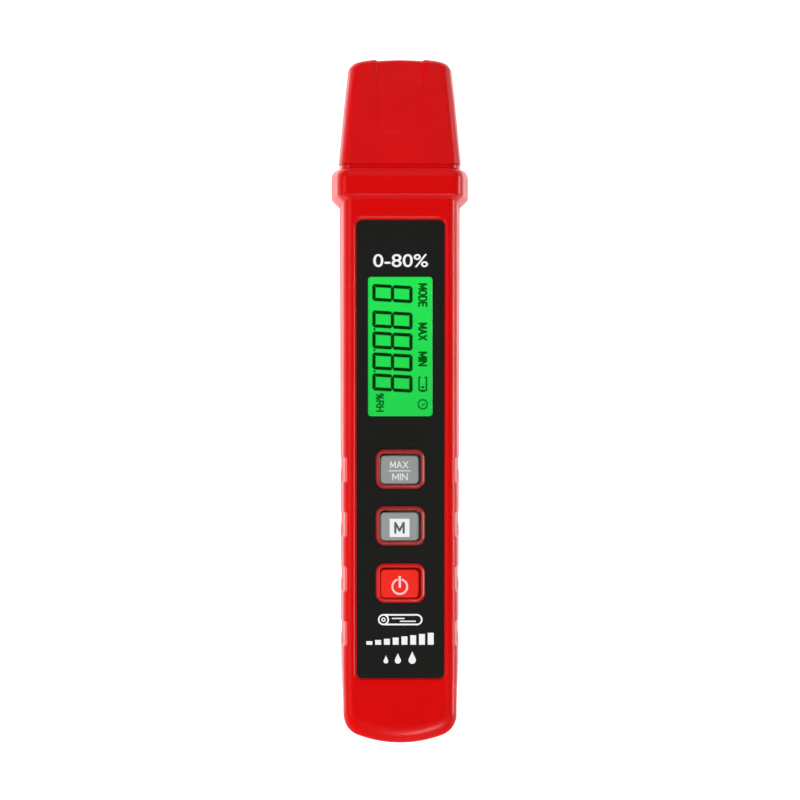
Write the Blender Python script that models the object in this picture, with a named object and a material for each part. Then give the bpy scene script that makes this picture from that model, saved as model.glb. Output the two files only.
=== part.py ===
"""Pocket pin-type moisture meter: a two-shell housing with a display, three keys and a battery door,
two steel probe pins on a black holder, and a pull-off cap over the pins.

The meter lies on its back: X across it, +Y towards the probe pins, +Z out of its face.
The origin is on the resting plane, under the middle of the length. Everything is modelled in
millimetres, and main() brings it to metres at the end.
"""

import math

import bmesh
import bpy
from mathutils import Matrix, Vector

MM = 0.001

# Housing
LENGTH = 172.0
SPLIT_Z = 12.5  # height of the seam between the two shells
FACE_Z = 24.0
HALF_WIDTH_TOP = 15.25
HALF_WIDTH_LOW = 14.85  # at LOW_Y, below the last grip notch
LOW_Y = -64.0
HALF_WIDTH_END = 14.3  # at the lower corners
CORNER_R = 5.5
END_R = 30.0
DRAFT = 0.8  # how far a side wall leans in between the seam and the edge fillet
FRONT_FILLET = 2.4
BACK_FILLET = 2.6
WALL = 1.9
SEAM = 0.1  # each shell stops this far short of the split plane
GAP = 0.3
LIP, LIP_INSET = 1.1, 1.1  # the front shell's lip: how far it reaches down, and its distance from the outside
LIP_SPARE = 0.15
WAIST_Z = 1.0
WAIST_LOW_Y = -9.0
CAVITY_SHOULDER, CAVITY_LEAN = 2.0, 1.6  # how the walls close in behind each face

# Collar and neck
COLLAR_HALF_WIDTH = 17.3
COLLAR_HALF_DEPTH = 12.5
COLLAR_TOP_Y, COLLAR_LOW_Y = 58.5, 50.0
COLLAR_CHAMFER = (2.1, 2.0)  # in from the side, along the meter
COLLAR_LEAN, COLLAR_FILLET = 1.3, 3.0
COLLAR_DIP = 1.1  # the collar's lower edge runs this much lower at the seam than at the face
BODY_TOP_Y = 57.5
NECK_HALF_WIDTH, NECK_HALF_DEPTH, NECK_TOP_Y = 12.3, 7.4, 69.0
NECK_WALL, NECK_LEAN, NECK_FILLET = 1.5, 0.3, 2.4

# Cap
CAP_BASE_Y, CAP_TIP_Y = 59.5, LENGTH / 2
CAP_BASE_HALF = (15.5, 11.0)
CAP_TIP_HALF = (13.0, 7.7)
CAP_WALL = 1.6
CAP_LEAN = 0.5
CAP_FILLET = 2.4
CAP_TIP_ROUND = 1.9
CAP_BOW_Y = 72.0  # where the tip's bow starts
TIP_RISE = 0.28  # how far the bow lifts the middle of the tip
TIP_BOW = 0.0085  # how far it drops for each square mm of distance from the middle
THUMB_HALF_WIDTH, THUMB_LOW_Y, THUMB_DEPTH, THUMB_R = 5.75, 67.7, 0.45, 2.2
CROWN_BOW = 0.012  # the bow of the channel's floor over the tip
SHOULDER_HALF = (15.1, 10.6)  # the low step that the cap stops on

# Face panel, window and keys
PANEL_HALF_WIDTH, PANEL_TOP_Y, PANEL_LOW_Y, PANEL_R = 11.1, 45.4, -69.7, 1.4
PANEL_FLOOR_Z, PANEL_BOTTOM_Z, PANEL_TOP_Z = 23.5, 23.6, 23.86
WINDOW_SIZE, WINDOW_Y, WINDOW_R = (16.1, 34.9), 13.6, 0.5
WINDOW_FLANGE = 1.2
KEY_YS = (-17.25, -31.5, -45.85)
KEY_NAMES = ("max_min", "mode", "power")
KEY_SIZE, KEY_R, KEY_TOP_Z = (9.7, 7.2), 1.1, 24.5
KEY_FLANGE, KEY_FLANGE_Z = 0.75, (20.9, 21.6)
RING_SIZE, RING_R, RING_TOP_Z = (12.4, 9.9), 2.3, 24.7
APERTURE_SIZE, APERTURE_R = (10.3, 7.8), 1.4
INNER_FACE_Z = 22.0

# Grip notches
NOTCH_TOP_Y, NOTCH_PITCH, NOTCH_LENGTH, NOTCH_DEPTH, NOTCHES = -14.15, 13.7, 6.6, 0.45, 4
NOTCH_LEVELS = (0.0, 8.5, 13.0)  # distances from the seam at which a notch's section is set

# Electronics
BOARD_HALF_WIDTH, BOARD_LOW_Y, BOARD_TOP_Y = 11.4, -70.0, 40.0
BOARD_BOTTOM_Z, BOARD_TOP_Z = 15.3, 16.85
PART_Z = BOARD_TOP_Z + 0.1  # underside of what stands on the board
GLASS_SIZE, GLASS_BOTTOM_Z, GLASS_TOP_Z = (20.4, 39.0), 19.3, 21.1
BOARD_SCREWS = ((-9.3, 37.6), (9.3, 37.6), (-9.3, -10.0), (9.3, -10.0))
POST_R, POST_BORE_R, POST_BORE_TOP_Z = 1.8, 1.0, 21.2
SWITCH_SIZE, SWITCH_TOP_Z, STEM_R, STEM_Z = 6.0, 20.3, 1.7, (19.55, 20.8)

# Batteries and their bay
CELL_R, CELL_BODY, CELL_NUB = 5.25, 43.7, 0.8
CELL_X, CELL_Z = 5.4, 7.65
BAY_HALF_WIDTH, BAY_LOW_Y, BAY_TOP_Y, BAY_ROOF_Z = 11.0, -73.6, -22.4, 13.2
BAY_WALL = 1.25
DOOR_HALF_WIDTH, DOOR_TOP_Y, DOOR_Z, DOOR_LEAN = 10.6, -20.9, 1.8, 0.7
HOOK_HALF_WIDTH, HOOK_REACH, HOOK_Z = 5.0, 1.3, 1.15
DISH_SIZE, DISH_R, DISH_DEPTH = (13.0, 10.0), 3.5, 0.9
PLATE = 0.4
CONTACT_Z, TAB_HALF_WIDTH = (3.6, 11.6), 1.4
SPRING_LENGTH = 5.3

# Case screws: (x, y, height of the seat of the head)
CASE_SCREWS = ((-9.5, 46.5, 3.2), (9.5, 46.5, 3.2), (-8.5, -79.0, 4.0), (8.5, -79.0, 4.0))
SCREW_HEAD_R, SCREW_HEAD, SCREW_SHANK_R, SCREW_TIP_Z = 2.0, 1.3, 1.1, 16.0
SCREW_SPARE = 0.2
BOARD_SCREW = (1.6, 0.9, 0.8, 20.6)  # head radius, head, shank radius, tip height
FRONT_BOSS_R, REAR_BOSS_R, BOSS_BORE_TOP_Z = 2.4, 2.7, 20.5

# Probe pins
PIN_X = 5.5
FLANGE_Y = (69.1, 70.6)
PLUG_LOW_Y = 60.5
SOCKET_LOW_Y, SOCKET_R, SOCKET_BORE_Y = 61.0, 2.2, 64.6
PIN_LOW_Y, PIN_SHANK_R, PIN_R, PIN_KNURL_R, PIN_TIP_Y = 65.2, 1.1, 0.95, 2.0, 81.0
LEAD_R = 0.6

COLOURS = {
    "red_plastic": ((0.76, 0.008, 0.008), 0.35, 0.0),
    "black_panel": ((0.015, 0.015, 0.014), 0.45, 0.0),
    "black_plastic": ((0.02, 0.02, 0.02), 0.4, 0.0),
    "grey_rubber": ((0.32, 0.34, 0.33), 0.6, 0.0),
    "red_rubber": ((0.94, 0.03, 0.02), 0.5, 0.0),
    "clear_plastic": ((0.8, 0.85, 0.85), 0.05, 0.0),
    "display_green": ((0.0, 0.75, 0.08), 0.3, 0.0),
    "white_plastic": ((0.85, 0.85, 0.82), 0.4, 0.0),
    "board_green": ((0.02, 0.16, 0.06), 0.45, 0.0),
    "steel": ((0.6, 0.6, 0.6), 0.25, 1.0),
    "brass": ((0.75, 0.55, 0.25), 0.3, 1.0),
    "zebra_rubber": ((0.75, 0.4, 0.4), 0.7, 0.0),
    "cell_sleeve": ((0.03, 0.03, 0.035), 0.3, 0.0),
}


# Materials, meshes and Booleans


def material(slot):
    """The material of a slot, made once."""
    found = bpy.data.materials.get(slot)
    if found:
        return found
    colour, roughness, metallic = COLOURS[slot]
    made = bpy.data.materials.new(slot)
    made.use_nodes = True
    shader = made.node_tree.nodes["Principled BSDF"]
    shader.inputs["Base Color"].default_value = (*colour, 1)
    shader.inputs["Roughness"].default_value = roughness
    shader.inputs["Metallic"].default_value = metallic
    made.diffuse_color = (*colour, 1)
    return made


def from_loops(name, loops, slot=None, ring=False):
    """A closed solid through loops of equally many points. A ring joins its last loop to its first."""
    bm = bmesh.new()
    rows = [[bm.verts.new(p) for p in loop] for loop in loops]
    count = len(loops[0])
    pairs = list(zip(rows, rows[1:]))
    if ring:
        pairs.append((rows[-1], rows[0]))
    for low, high in pairs:
        for i in range(count):
            j = (i + 1) % count
            bm.faces.new((low[i], low[j], high[j], high[i]))
    if not ring:
        bm.faces.new(rows[0])
        bm.faces.new(rows[-1])
    bmesh.ops.recalc_face_normals(bm, faces=bm.faces)
    mesh = bpy.data.meshes.new(name)
    bm.to_mesh(mesh)
    bm.free()
    obj = bpy.data.objects.new(name, mesh)
    bpy.context.scene.collection.objects.link(obj)
    if slot:
        mesh.materials.append(material(slot))
        mesh.shade_smooth()
        mesh.set_sharp_from_angle(angle=math.radians(32))
    return obj


def combine(obj, other, operation):
    """Joins other to obj, cuts it away or keeps what both share, and removes other."""
    modifier = obj.modifiers.new("combine", "BOOLEAN")
    modifier.object = other
    modifier.operation = operation
    graph = bpy.context.evaluated_depsgraph_get()
    made = bpy.data.meshes.new_from_object(obj.evaluated_get(graph))
    obj.modifiers.clear()
    old = obj.data
    obj.data = made
    bpy.data.meshes.remove(old)
    bpy.data.meshes.remove(other.data)
    return obj


def join(obj, *others):
    for other in others:
        combine(obj, other, "UNION")
    return obj


def cut(obj, *others):
    for other in others:
        combine(obj, other, "DIFFERENCE")
    return obj


def finish(obj, slot):
    """Gives a solid made by Booleans its material and its shading."""
    obj.data.materials.clear()
    obj.data.materials.append(material(slot))
    obj.data.shade_smooth()
    obj.data.set_sharp_from_angle(angle=math.radians(32))
    return obj


# Outlines and simple solids


def arc(cx, cy, r, start, end, steps):
    """Points on a circle from one angle to another, in degrees."""
    angles = [math.radians(start + (end - start) * i / steps) for i in range(steps + 1)]
    return [(cx + r * math.cos(a), cy + r * math.sin(a)) for a in angles]


def rounded_rect(width, height, r, cx=0.0, cy=0.0, steps=4):
    """A rectangle's outline with round corners, anticlockwise."""
    x, y = width / 2 - r, height / 2 - r
    corners = ((x, y, 0), (-x, y, 90), (-x, -y, 180), (x, -y, 270))
    return [p for dx, dy, a in corners for p in arc(cx + dx, cy + dy, r, a, a + 90, steps)]


def prism(name, outline, z0, z1, slot=None):
    """An outline in the plan, from one height to another."""
    return from_loops(name, [[(x, y, z) for x, y in outline] for z in (z0, z1)], slot)


def box(name, x, y, z, slot=None):
    """A block from (low, high) along each axis."""
    corners = [(x[0], y[0]), (x[1], y[0]), (x[1], y[1]), (x[0], y[1])]
    return prism(name, corners, z[0], z[1], slot)


def upright_cylinder(name, x, y, r, z0, z1, slot=None, sides=16):
    return prism(name, arc(x, y, r, 0, 360 - 360 / sides, sides - 1), z0, z1, slot)


def turned_along_y(name, x, z, profile, slot=None, sides=16):
    """A solid of revolution about a line along Y. The profile lists (y, radius)."""
    loops = []
    for y, r in profile:
        circle = arc(x, z, r, 0, 360 - 360 / sides, sides - 1)
        loops.append([(u, y, v) for u, v in circle])
    return from_loops(name, loops, slot)


def body_outline(inset, top_y, bow_steps=8, corner_steps=5):
    """The housing's plan outline, moved in by an inset, with round lower corners and a bowed end."""
    centre_y = END_R - LENGTH / 2
    corner_x = HALF_WIDTH_END - CORNER_R
    corner_y = centre_y - math.sqrt((END_R - CORNER_R) ** 2 - corner_x**2)
    turn = math.degrees(math.atan2(corner_y - centre_y, corner_x))
    right = [(HALF_WIDTH_TOP - inset, top_y - inset), (HALF_WIDTH_LOW - inset, LOW_Y)]
    right += arc(corner_x, corner_y, CORNER_R - inset, 0, turn, corner_steps)
    bow = arc(0, centre_y, END_R - inset, turn, -180 - turn, bow_steps)[1:-1]
    return right + bow + [(-x, y) for x, y in reversed(right)]


def plate(name, levels):
    """A solid with the housing's outline at each level, a list of (inset, z, top_y)."""
    return from_loops(name, [[(x, y, z) for x, y in body_outline(inset, top)] for inset, z, top in levels])


def fillet(inset, z, r, up, steps=4):
    """(inset, z) pairs of a quarter round that starts at a wall and ends on a face above it or below it."""
    turns = [math.radians(90 * i / steps) for i in range(steps + 1)]
    return [(inset + r * (1 - math.cos(t)), z + up * r * math.sin(t)) for t in turns]


def barrel(half_width, half_depth, lean, r, steps=3, across=0):
    """A cross-section in X and Z whose sides lean in from the seam, with round corners.

    across adds that many points to each half of its long edges.
    """
    flat = half_width - lean - r
    quarter = [(half_width, 0.0)]
    quarter += arc(flat, half_depth - r, r, 0, 90, steps)
    quarter += [(flat * (1 - i / (across + 1)), half_depth) for i in range(1, across + 1)]
    top = quarter + [(-x, z) for x, z in reversed(quarter)]
    return top + [(x, -z) for x, z in reversed(top[1:-1])]


def half_barrel(half_width, half_depth, lean, r, side, steps=3):
    """The part of a barrel section on one side of the seam: side is +1 for the face, -1 for the back."""
    corner = arc(half_width - lean - r, half_depth - r, r, 0, 90, steps)
    quarter = [(half_width, SEAM), *corner]
    return [(x, side * z) for x, z in quarter + [(-x, z) for x, z in reversed(quarter)]]


def loft_along_y(name, stations, warp=None):
    """A solid through XZ sections, a list of (y, section), each measured from the split plane."""
    loops = []
    for y, section in stations:
        loops.append([(x, warp(x, y, z) if warp else y, z + SPLIT_Z) for x, z in section])
    return from_loops(name, loops)


def wire(name, points, r, slot):
    """A round wire through points."""
    curve = bpy.data.curves.new(name, "CURVE")
    curve.dimensions = "3D"
    curve.bevel_depth = r
    curve.bevel_resolution = 1
    curve.use_fill_caps = True
    line = curve.splines.new("POLY")
    line.points.add(len(points) - 1)
    for point, place in zip(line.points, points):
        point.co = (*place, 1)
    obj = bpy.data.objects.new(name, curve)
    bpy.context.scene.collection.objects.link(obj)
    curve.materials.append(material(slot))
    return obj


# Housing


def collar_half(side):
    """Half of the collar that stands round the top of the housing. Its lower edge dips towards the seam."""

    chamfer_x, chamfer_y = COLLAR_CHAMFER

    def warp(_, y, z):
        if y > COLLAR_LOW_Y + chamfer_y + 0.1:
            return y
        return y - COLLAR_DIP * (1 - min(1, abs(z) / COLLAR_HALF_DEPTH) ** 2)

    def section(drop):
        half = (COLLAR_HALF_WIDTH - drop, COLLAR_HALF_DEPTH - drop * 0.6)
        return half_barrel(*half, COLLAR_LEAN, COLLAR_FILLET, side)

    stations = (
        (COLLAR_TOP_Y, section(chamfer_x)),
        (COLLAR_TOP_Y - chamfer_y, section(0)),
        (COLLAR_LOW_Y + chamfer_y, section(0)),
        (COLLAR_LOW_Y, section(chamfer_x)),
    )
    return loft_along_y("collar", stations, warp)


def neck_half(side):
    """Half of the neck that the cap slides over."""
    section = half_barrel(NECK_HALF_WIDTH, NECK_HALF_DEPTH, NECK_LEAN, NECK_FILLET, side)
    return loft_along_y("neck", ((COLLAR_TOP_Y - 3, section), (NECK_TOP_Y, section)))


def shoulder_half(side):
    """Half of the low step between the collar and the cap."""
    section = half_barrel(*SHOULDER_HALF, CAP_LEAN, CAP_FILLET, side)
    return loft_along_y("shoulder", ((COLLAR_TOP_Y - 3, section), (CAP_BASE_Y - GAP, section)))


def neck_section(inset):
    """The neck's cross-section, moved in by an inset."""
    r = max(0.8, NECK_FILLET - inset)
    return barrel(NECK_HALF_WIDTH - inset, NECK_HALF_DEPTH - inset, NECK_LEAN, r)


def neck_bore():
    """The passage through the neck into the housing."""
    section = neck_section(NECK_WALL)
    return loft_along_y("neck_bore", ((BODY_TOP_Y - 6, section), (NECK_TOP_Y + 2, section)))


def seam_lip():
    """The rim of the front shell that reaches down inside the rear shell's wall."""
    low, high = SPLIT_Z - LIP, SPLIT_Z + 1
    corners = ((LIP_INSET, low), (LIP_INSET, high), (WALL, high), (WALL, low))
    loops = [[(x, y, z) for x, y in body_outline(inset, BODY_TOP_Y)] for inset, z in corners]
    return from_loops("seam_lip", loops, ring=True)


def seam_rebate():
    """The room for the lip, cut from the inner edge of the rear shell's wall."""
    levels = (SPLIT_Z - LIP - GAP, SPLIT_Z + 1)
    return plate("seam_rebate", [(LIP_INSET - LIP_SPARE, z, BODY_TOP_Y) for z in levels])


def side_x(y, z):
    """Half the housing's width at a place on a side wall, below the fillet."""
    share = (y - LOW_Y) / (BODY_TOP_Y - LOW_Y)
    reach = FACE_Z - FRONT_FILLET - SPLIT_Z if z > SPLIT_Z else SPLIT_Z - BACK_FILLET
    return HALF_WIDTH_LOW + (HALF_WIDTH_TOP - HALF_WIDTH_LOW) * share - DRAFT * abs(z - SPLIT_Z) / reach


def notch(side, y_top, face_side):
    """A cutter for one grip notch: a shallow scoop across a side wall, with a sloping upper end."""
    y_low = y_top - NOTCH_LENGTH
    loops = []
    for reach in NOTCH_LEVELS:
        z = SPLIT_Z + face_side * reach
        wall = side_x((y_low + y_top) / 2, z)
        floor = wall - NOTCH_DEPTH
        edge, outside = wall + 0.05, wall + 4
        corners = [(floor, y_low + 0.5), (floor, y_top - 1.4), (edge, y_top), (outside, y_top + 0.5),
                   (outside, y_low - 0.3), (edge, y_low)]
        loops.append([(side * x, y, z) for x, y in corners])
    return from_loops("notch", loops)


def key_ring(y):
    """The raised rim round a key's aperture."""
    steps = (
        (RING_SIZE, RING_R, 0.0, PANEL_FLOOR_Z - 0.3),
        (RING_SIZE, RING_R, 0.0, RING_TOP_Z - 0.35),
        (RING_SIZE, RING_R, 0.35, RING_TOP_Z),
        (APERTURE_SIZE, APERTURE_R, -0.3, RING_TOP_Z),
        (APERTURE_SIZE, APERTURE_R, 0.0, RING_TOP_Z - 0.3),
        (APERTURE_SIZE, APERTURE_R, 0.0, PANEL_FLOOR_Z - 0.3),
    )
    loops = []
    for (width, height), r, inset, z in steps:
        outline = rounded_rect(width - 2 * inset, height - 2 * inset, r - inset, 0, y)
        loops.append([(u, v, z) for u, v in outline])
    return from_loops("key_ring", loops, ring=True)


def panel_outline(spare):
    """The face panel's outline, grown by spare for its recess."""
    size = (2 * (PANEL_HALF_WIDTH + spare), PANEL_TOP_Y - PANEL_LOW_Y + 2 * spare)
    return rounded_rect(*size, PANEL_R + spare, 0, (PANEL_TOP_Y + PANEL_LOW_Y) / 2)


def window_outline(spare):
    """The window's outline, grown by spare for an opening or a flange."""
    width, height = WINDOW_SIZE
    return rounded_rect(width + 2 * spare, height + 2 * spare, WINDOW_R + spare, 0, WINDOW_Y)


def make_front_shell():
    """The front shell: face, collar and neck half, panel recess, window and key apertures, screw bosses."""
    levels = [(0.0, SPLIT_Z + SEAM, BODY_TOP_Y)]
    levels += [(i, z, BODY_TOP_Y) for i, z in fillet(DRAFT, FACE_Z - FRONT_FILLET, FRONT_FILLET, 1)]
    shell = plate("front_shell", levels)
    join(shell, collar_half(1), shoulder_half(1), neck_half(1))
    inner = [(WALL, SPLIT_Z - 1), (WALL + DRAFT, INNER_FACE_Z - CAVITY_SHOULDER),
             (WALL + DRAFT + CAVITY_LEAN, INNER_FACE_Z)]
    cut(shell, plate("front_cavity", [(i, z, BODY_TOP_Y) for i, z in inner]))
    join(shell, seam_lip())
    cut(shell, neck_bore())
    cut(shell, prism("panel_recess", panel_outline(0.1), PANEL_FLOOR_Z, FACE_Z + 2))
    for y in KEY_YS:
        join(shell, key_ring(y))
        aperture = rounded_rect(*APERTURE_SIZE, APERTURE_R, 0, y)
        cut(shell, prism("aperture", aperture, INNER_FACE_Z - 2, RING_TOP_Z - 0.1))
    cut(shell, prism("window_opening", window_outline(0.2), INNER_FACE_Z - 2, FACE_Z + 1))
    root_z = INNER_FACE_Z + 0.6
    for x, y, _ in CASE_SCREWS:
        join(shell, upright_cylinder("boss", x, y, FRONT_BOSS_R, SPLIT_Z - LIP, root_z, sides=12))
        bore_r = SCREW_SHANK_R + SCREW_SPARE
        cut(shell, upright_cylinder("boss_bore", x, y, bore_r, SPLIT_Z - 3, BOSS_BORE_TOP_Z, sides=10))
    for x, y in BOARD_SCREWS:
        join(shell, upright_cylinder("post", x, y, POST_R, PART_Z, root_z, sides=12))
        cut(shell, upright_cylinder("post_bore", x, y, POST_BORE_R, PART_Z - 1, POST_BORE_TOP_Z, sides=8))
    for i in range(NOTCHES):
        for side in (-1, 1):
            cut(shell, notch(side, NOTCH_TOP_Y - i * NOTCH_PITCH, 1))
    return finish(shell, "red_plastic")


def back_plate(name):
    """The solid outer form of the rear shell, before its waist is cut."""
    levels = [(0.0, SPLIT_Z - SEAM, BODY_TOP_Y)]
    levels += [(i, z, BODY_TOP_Y) for i, z in fillet(DRAFT, BACK_FILLET, BACK_FILLET, -1)]
    return plate(name, levels)


def door_bar(name, spare, z_top, top_y):
    """The dovetailed bar that the battery door is cut from, grown by spare for its channel."""
    half, lean = DOOR_HALF_WIDTH + spare, DOOR_LEAN
    low_z = -1.0
    foot = half + lean * low_z / DOOR_Z
    wide = half + lean * z_top / DOOR_Z
    loops = []
    for y in (-LENGTH / 2 - 2, top_y):
        loops.append([(-foot, y, low_z), (foot, y, low_z), (wide, y, z_top), (-wide, y, z_top)])
    return from_loops(name, loops)


def waist_cutter():
    """Takes a shallow step off the back above the battery bay, between the bay and the collar."""
    outline = [(WAIST_LOW_Y, WAIST_Z), (LENGTH / 2, WAIST_Z), (LENGTH / 2, -1), (WAIST_LOW_Y - 5, -1)]
    reach = COLLAR_HALF_WIDTH + 5
    return from_loops("waist", [[(x, y, z) for y, z in outline] for x in (-reach, reach)])


def make_rear_shell():
    """The rear shell: back, collar and neck half, battery bay, door channel and screw bosses."""
    shell = back_plate("rear_shell")
    cut(shell, waist_cutter())
    join(shell, collar_half(-1), shoulder_half(-1), neck_half(-1))
    inner_face = WAIST_Z + WALL
    inner = [(WALL, SPLIT_Z + 1), (WALL + DRAFT, inner_face + CAVITY_SHOULDER),
             (WALL + DRAFT + CAVITY_LEAN, inner_face)]
    cut(shell, plate("rear_cavity", [(i, z, BODY_TOP_Y) for i, z in inner]))
    cut(shell, seam_rebate(), neck_bore())
    bay = box("bay", (-BAY_HALF_WIDTH - BAY_WALL, BAY_HALF_WIDTH + BAY_WALL),
              (BAY_LOW_Y - BAY_WALL, BAY_TOP_Y + BAY_WALL), (1.1, BAY_ROOF_Z + 1.2))
    join(shell, bay)
    for x, y, seat in CASE_SCREWS:
        join(shell, upright_cylinder("boss", x, y, REAR_BOSS_R, seat - 1.2, SPLIT_Z - LIP - GAP, sides=12))
    cut(shell, box("bay_room", (-BAY_HALF_WIDTH, BAY_HALF_WIDTH), (BAY_LOW_Y, BAY_TOP_Y), (-2, BAY_ROOF_Z)))
    cut(shell, door_bar("door_channel", GAP, DOOR_Z + GAP, DOOR_TOP_Y + GAP))
    pocket_x = (-HOOK_HALF_WIDTH - 0.4, HOOK_HALF_WIDTH + 0.4)
    pocket_y = (DOOR_TOP_Y - 1, DOOR_TOP_Y + HOOK_REACH + 0.6)
    cut(shell, box("hook_pocket", pocket_x, pocket_y, (HOOK_Z - 0.35, DOOR_Z + GAP + 0.05)))
    for x in (-CELL_X, CELL_X):
        tab_x = (x - TAB_HALF_WIDTH - 0.6, x + TAB_HALF_WIDTH + 0.6)
        cut(shell, box("tab_slot", tab_x, (BAY_TOP_Y - 1.2, BAY_TOP_Y + 0.01), (CONTACT_Z[1] - 1.6, 16)))
    for x, y, seat in CASE_SCREWS:
        cut(shell, upright_cylinder("head_well", x, y, SCREW_HEAD_R + GAP, -1, seat, sides=20))
        hole_r = SCREW_SHANK_R + SCREW_SPARE
        cut(shell, upright_cylinder("screw_hole", x, y, hole_r, 0, SPLIT_Z + 1.5, sides=10))
    for i in range(NOTCHES):
        for side in (-1, 1):
            cut(shell, notch(side, NOTCH_TOP_Y - i * NOTCH_PITCH, -1))
    return finish(shell, "red_plastic")


def make_battery_door():
    """The sliding door: a dovetailed plate with a hook at its upper end and a ribbed thumb dish."""
    door = combine(back_plate("battery_door"), door_bar("bar", 0, DOOR_Z, DOOR_TOP_Y), "INTERSECT")
    hook_y = (DOOR_TOP_Y - 0.5, DOOR_TOP_Y + HOOK_REACH)
    join(door, box("hook", (-HOOK_HALF_WIDTH, HOOK_HALF_WIDTH), hook_y, (HOOK_Z, DOOR_Z - 0.05)))
    dish_y = DOOR_TOP_Y - 9
    cut(door, prism("dish", rounded_rect(*DISH_SIZE, DISH_R, 0, dish_y), -1, DISH_DEPTH))
    for i in range(4):
        y = dish_y - 3 + 2 * i
        root_z, crest_z = DISH_DEPTH + 0.2, 0.25
        rib = [(y - 0.45, root_z), (y - 0.2, crest_z), (y + 0.2, crest_z), (y + 0.45, root_z)]
        join(door, from_loops("rib", [[(x, v, z) for v, z in rib] for x in (-4.2, 4.2)]))
    return finish(door, "red_plastic")


# Cap


def cap_half_size(y):
    """The cap's half width and half depth at a place along it, leaving out the round of the tip."""
    share = (y - CAP_BASE_Y) / (CAP_TIP_Y - CAP_BASE_Y)
    return [a + (b - a) * share for a, b in zip(CAP_BASE_HALF, CAP_TIP_HALF)]


def cap_section(y, inset, corner):
    width, depth = cap_half_size(y)
    return barrel(width - inset, depth - inset, CAP_LEAN, corner, across=3)


def make_probe_cap():
    """The pull-off cap: a tapering cup with a bowed tip and a thumb channel over its tip."""
    tip_start = CAP_TIP_Y - CAP_TIP_ROUND
    outer = [(CAP_BASE_Y, cap_section(CAP_BASE_Y, 0.25, CAP_FILLET)),
             (CAP_BASE_Y + 0.3, cap_section(CAP_BASE_Y + 0.3, 0, CAP_FILLET)),
             (CAP_BOW_Y, cap_section(CAP_BOW_Y, 0, CAP_FILLET))]
    for i in range(5):
        t = math.radians(90 * i / 4)
        y = tip_start + CAP_TIP_ROUND * math.sin(t)
        outer.append((y, cap_section(tip_start, CAP_TIP_ROUND * (1 - math.cos(t)), CAP_FILLET)))
    top_y = CAP_TIP_Y - CAP_WALL - 0.4
    inner = [(top_y, cap_section(top_y, CAP_WALL + 1.0, 1.2)),
             (top_y - 1.0, cap_section(top_y - 1, CAP_WALL, 1.2)),
             (CAP_BASE_Y, cap_section(CAP_BASE_Y, CAP_WALL, 1.2))]

    def warp(x, y, _):
        bow = max(0.0, (y - CAP_BOW_Y) / (CAP_TIP_Y - CAP_BOW_Y))
        return y + (TIP_RISE - TIP_BOW * x * x) * bow

    cap = loft_along_y("probe_cap", outer, warp)
    room = [(y, section) for y, section in reversed(inner)]
    room[0] = (CAP_BASE_Y - 1, room[0][1])
    cut(cap, loft_along_y("cap_room", room))
    slope = (CAP_TIP_HALF[1] - CAP_BASE_HALF[1]) / (CAP_TIP_Y - CAP_BASE_Y)
    outline = rounded_rect(2 * THUMB_HALF_WIDTH, 40, THUMB_R, 0, THUMB_LOW_Y + 20)
    for side in (1, -1):
        floor = [(x, y, SPLIT_Z + side * (CAP_BASE_HALF[1] + slope * (y - CAP_BASE_Y) - THUMB_DEPTH))
                 for x, y in outline]
        cut(cap, from_loops("thumb", [floor, [(x, y, SPLIT_Z + side * 20) for x, y, _ in floor]]))
    across = [THUMB_HALF_WIDTH * (i / 4 - 1) for i in range(9)]
    crown = [(x, CAP_TIP_Y - CROWN_BOW * x * x) for x in across]
    tip_cut = crown + [(THUMB_HALF_WIDTH, CAP_TIP_Y + 2), (-THUMB_HALF_WIDTH, CAP_TIP_Y + 2)]
    cut(cap, prism("tip_channel", tip_cut, -1, 26))
    return finish(cap, "red_plastic")


# Face


def make_face_panel():
    """The black printed panel, with openings for the window and the key rims."""
    panel = prism("face_panel", panel_outline(0), PANEL_BOTTOM_Z, PANEL_TOP_Z)
    cut(panel, prism("opening", window_outline(0.1), INNER_FACE_Z, RING_TOP_Z + 1))
    for y in KEY_YS:
        hole = rounded_rect(RING_SIZE[0] + 0.2, RING_SIZE[1] + 0.2, RING_R + 0.1, 0, y)
        cut(panel, prism("key_hole", hole, INNER_FACE_Z, RING_TOP_Z + 1))
    return finish(panel, "black_panel")


def make_display_window():
    """The clear window: a block that fills the opening, on a flange glued behind the face."""
    step_z = INNER_FACE_Z - 0.1
    levels = ((WINDOW_FLANGE, step_z - 0.75), (WINDOW_FLANGE, step_z), (0, step_z), (0, PANEL_TOP_Z - 0.05))
    loops = [[(u, v, z) for u, v in window_outline(grow)] for grow, z in levels]
    return from_loops("display_window", loops, "clear_plastic")


def make_key(name, y, slot):
    """A key: a soft-edged block with a flange behind the face."""
    flange_low, flange_top = KEY_FLANGE_Z
    steps = ((KEY_FLANGE, flange_low), (KEY_FLANGE, flange_top), (0, flange_top), (0, KEY_TOP_Z - 0.4),
             (-0.12, KEY_TOP_Z - 0.1), (-0.4, KEY_TOP_Z))
    loops = []
    for grow, z in steps:
        r = KEY_R + min(grow, 0)
        outline = rounded_rect(KEY_SIZE[0] + 2 * grow, KEY_SIZE[1] + 2 * grow, r, 0, y)
        loops.append([(u, v, z) for u, v in outline])
    return from_loops(f"{name}_key", loops, slot)


def make_switch(name, y):
    """A square push switch on the board, and the round stem that its key presses."""
    outline = rounded_rect(SWITCH_SIZE, SWITCH_SIZE, 0.3, 0, y, steps=1)
    body = prism(f"{name}_switch_body", outline, PART_Z, SWITCH_TOP_Z)
    bore_z = (STEM_Z[0] - 0.35, SWITCH_TOP_Z + 1)
    cut(body, upright_cylinder("stem_bore", 0, y, STEM_R + GAP, *bore_z, sides=20))
    finish(body, "black_plastic")
    return upright_cylinder(f"{name}_switch_stem", 0, y, STEM_R, *STEM_Z, "white_plastic", sides=20)


# Electronics


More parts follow.
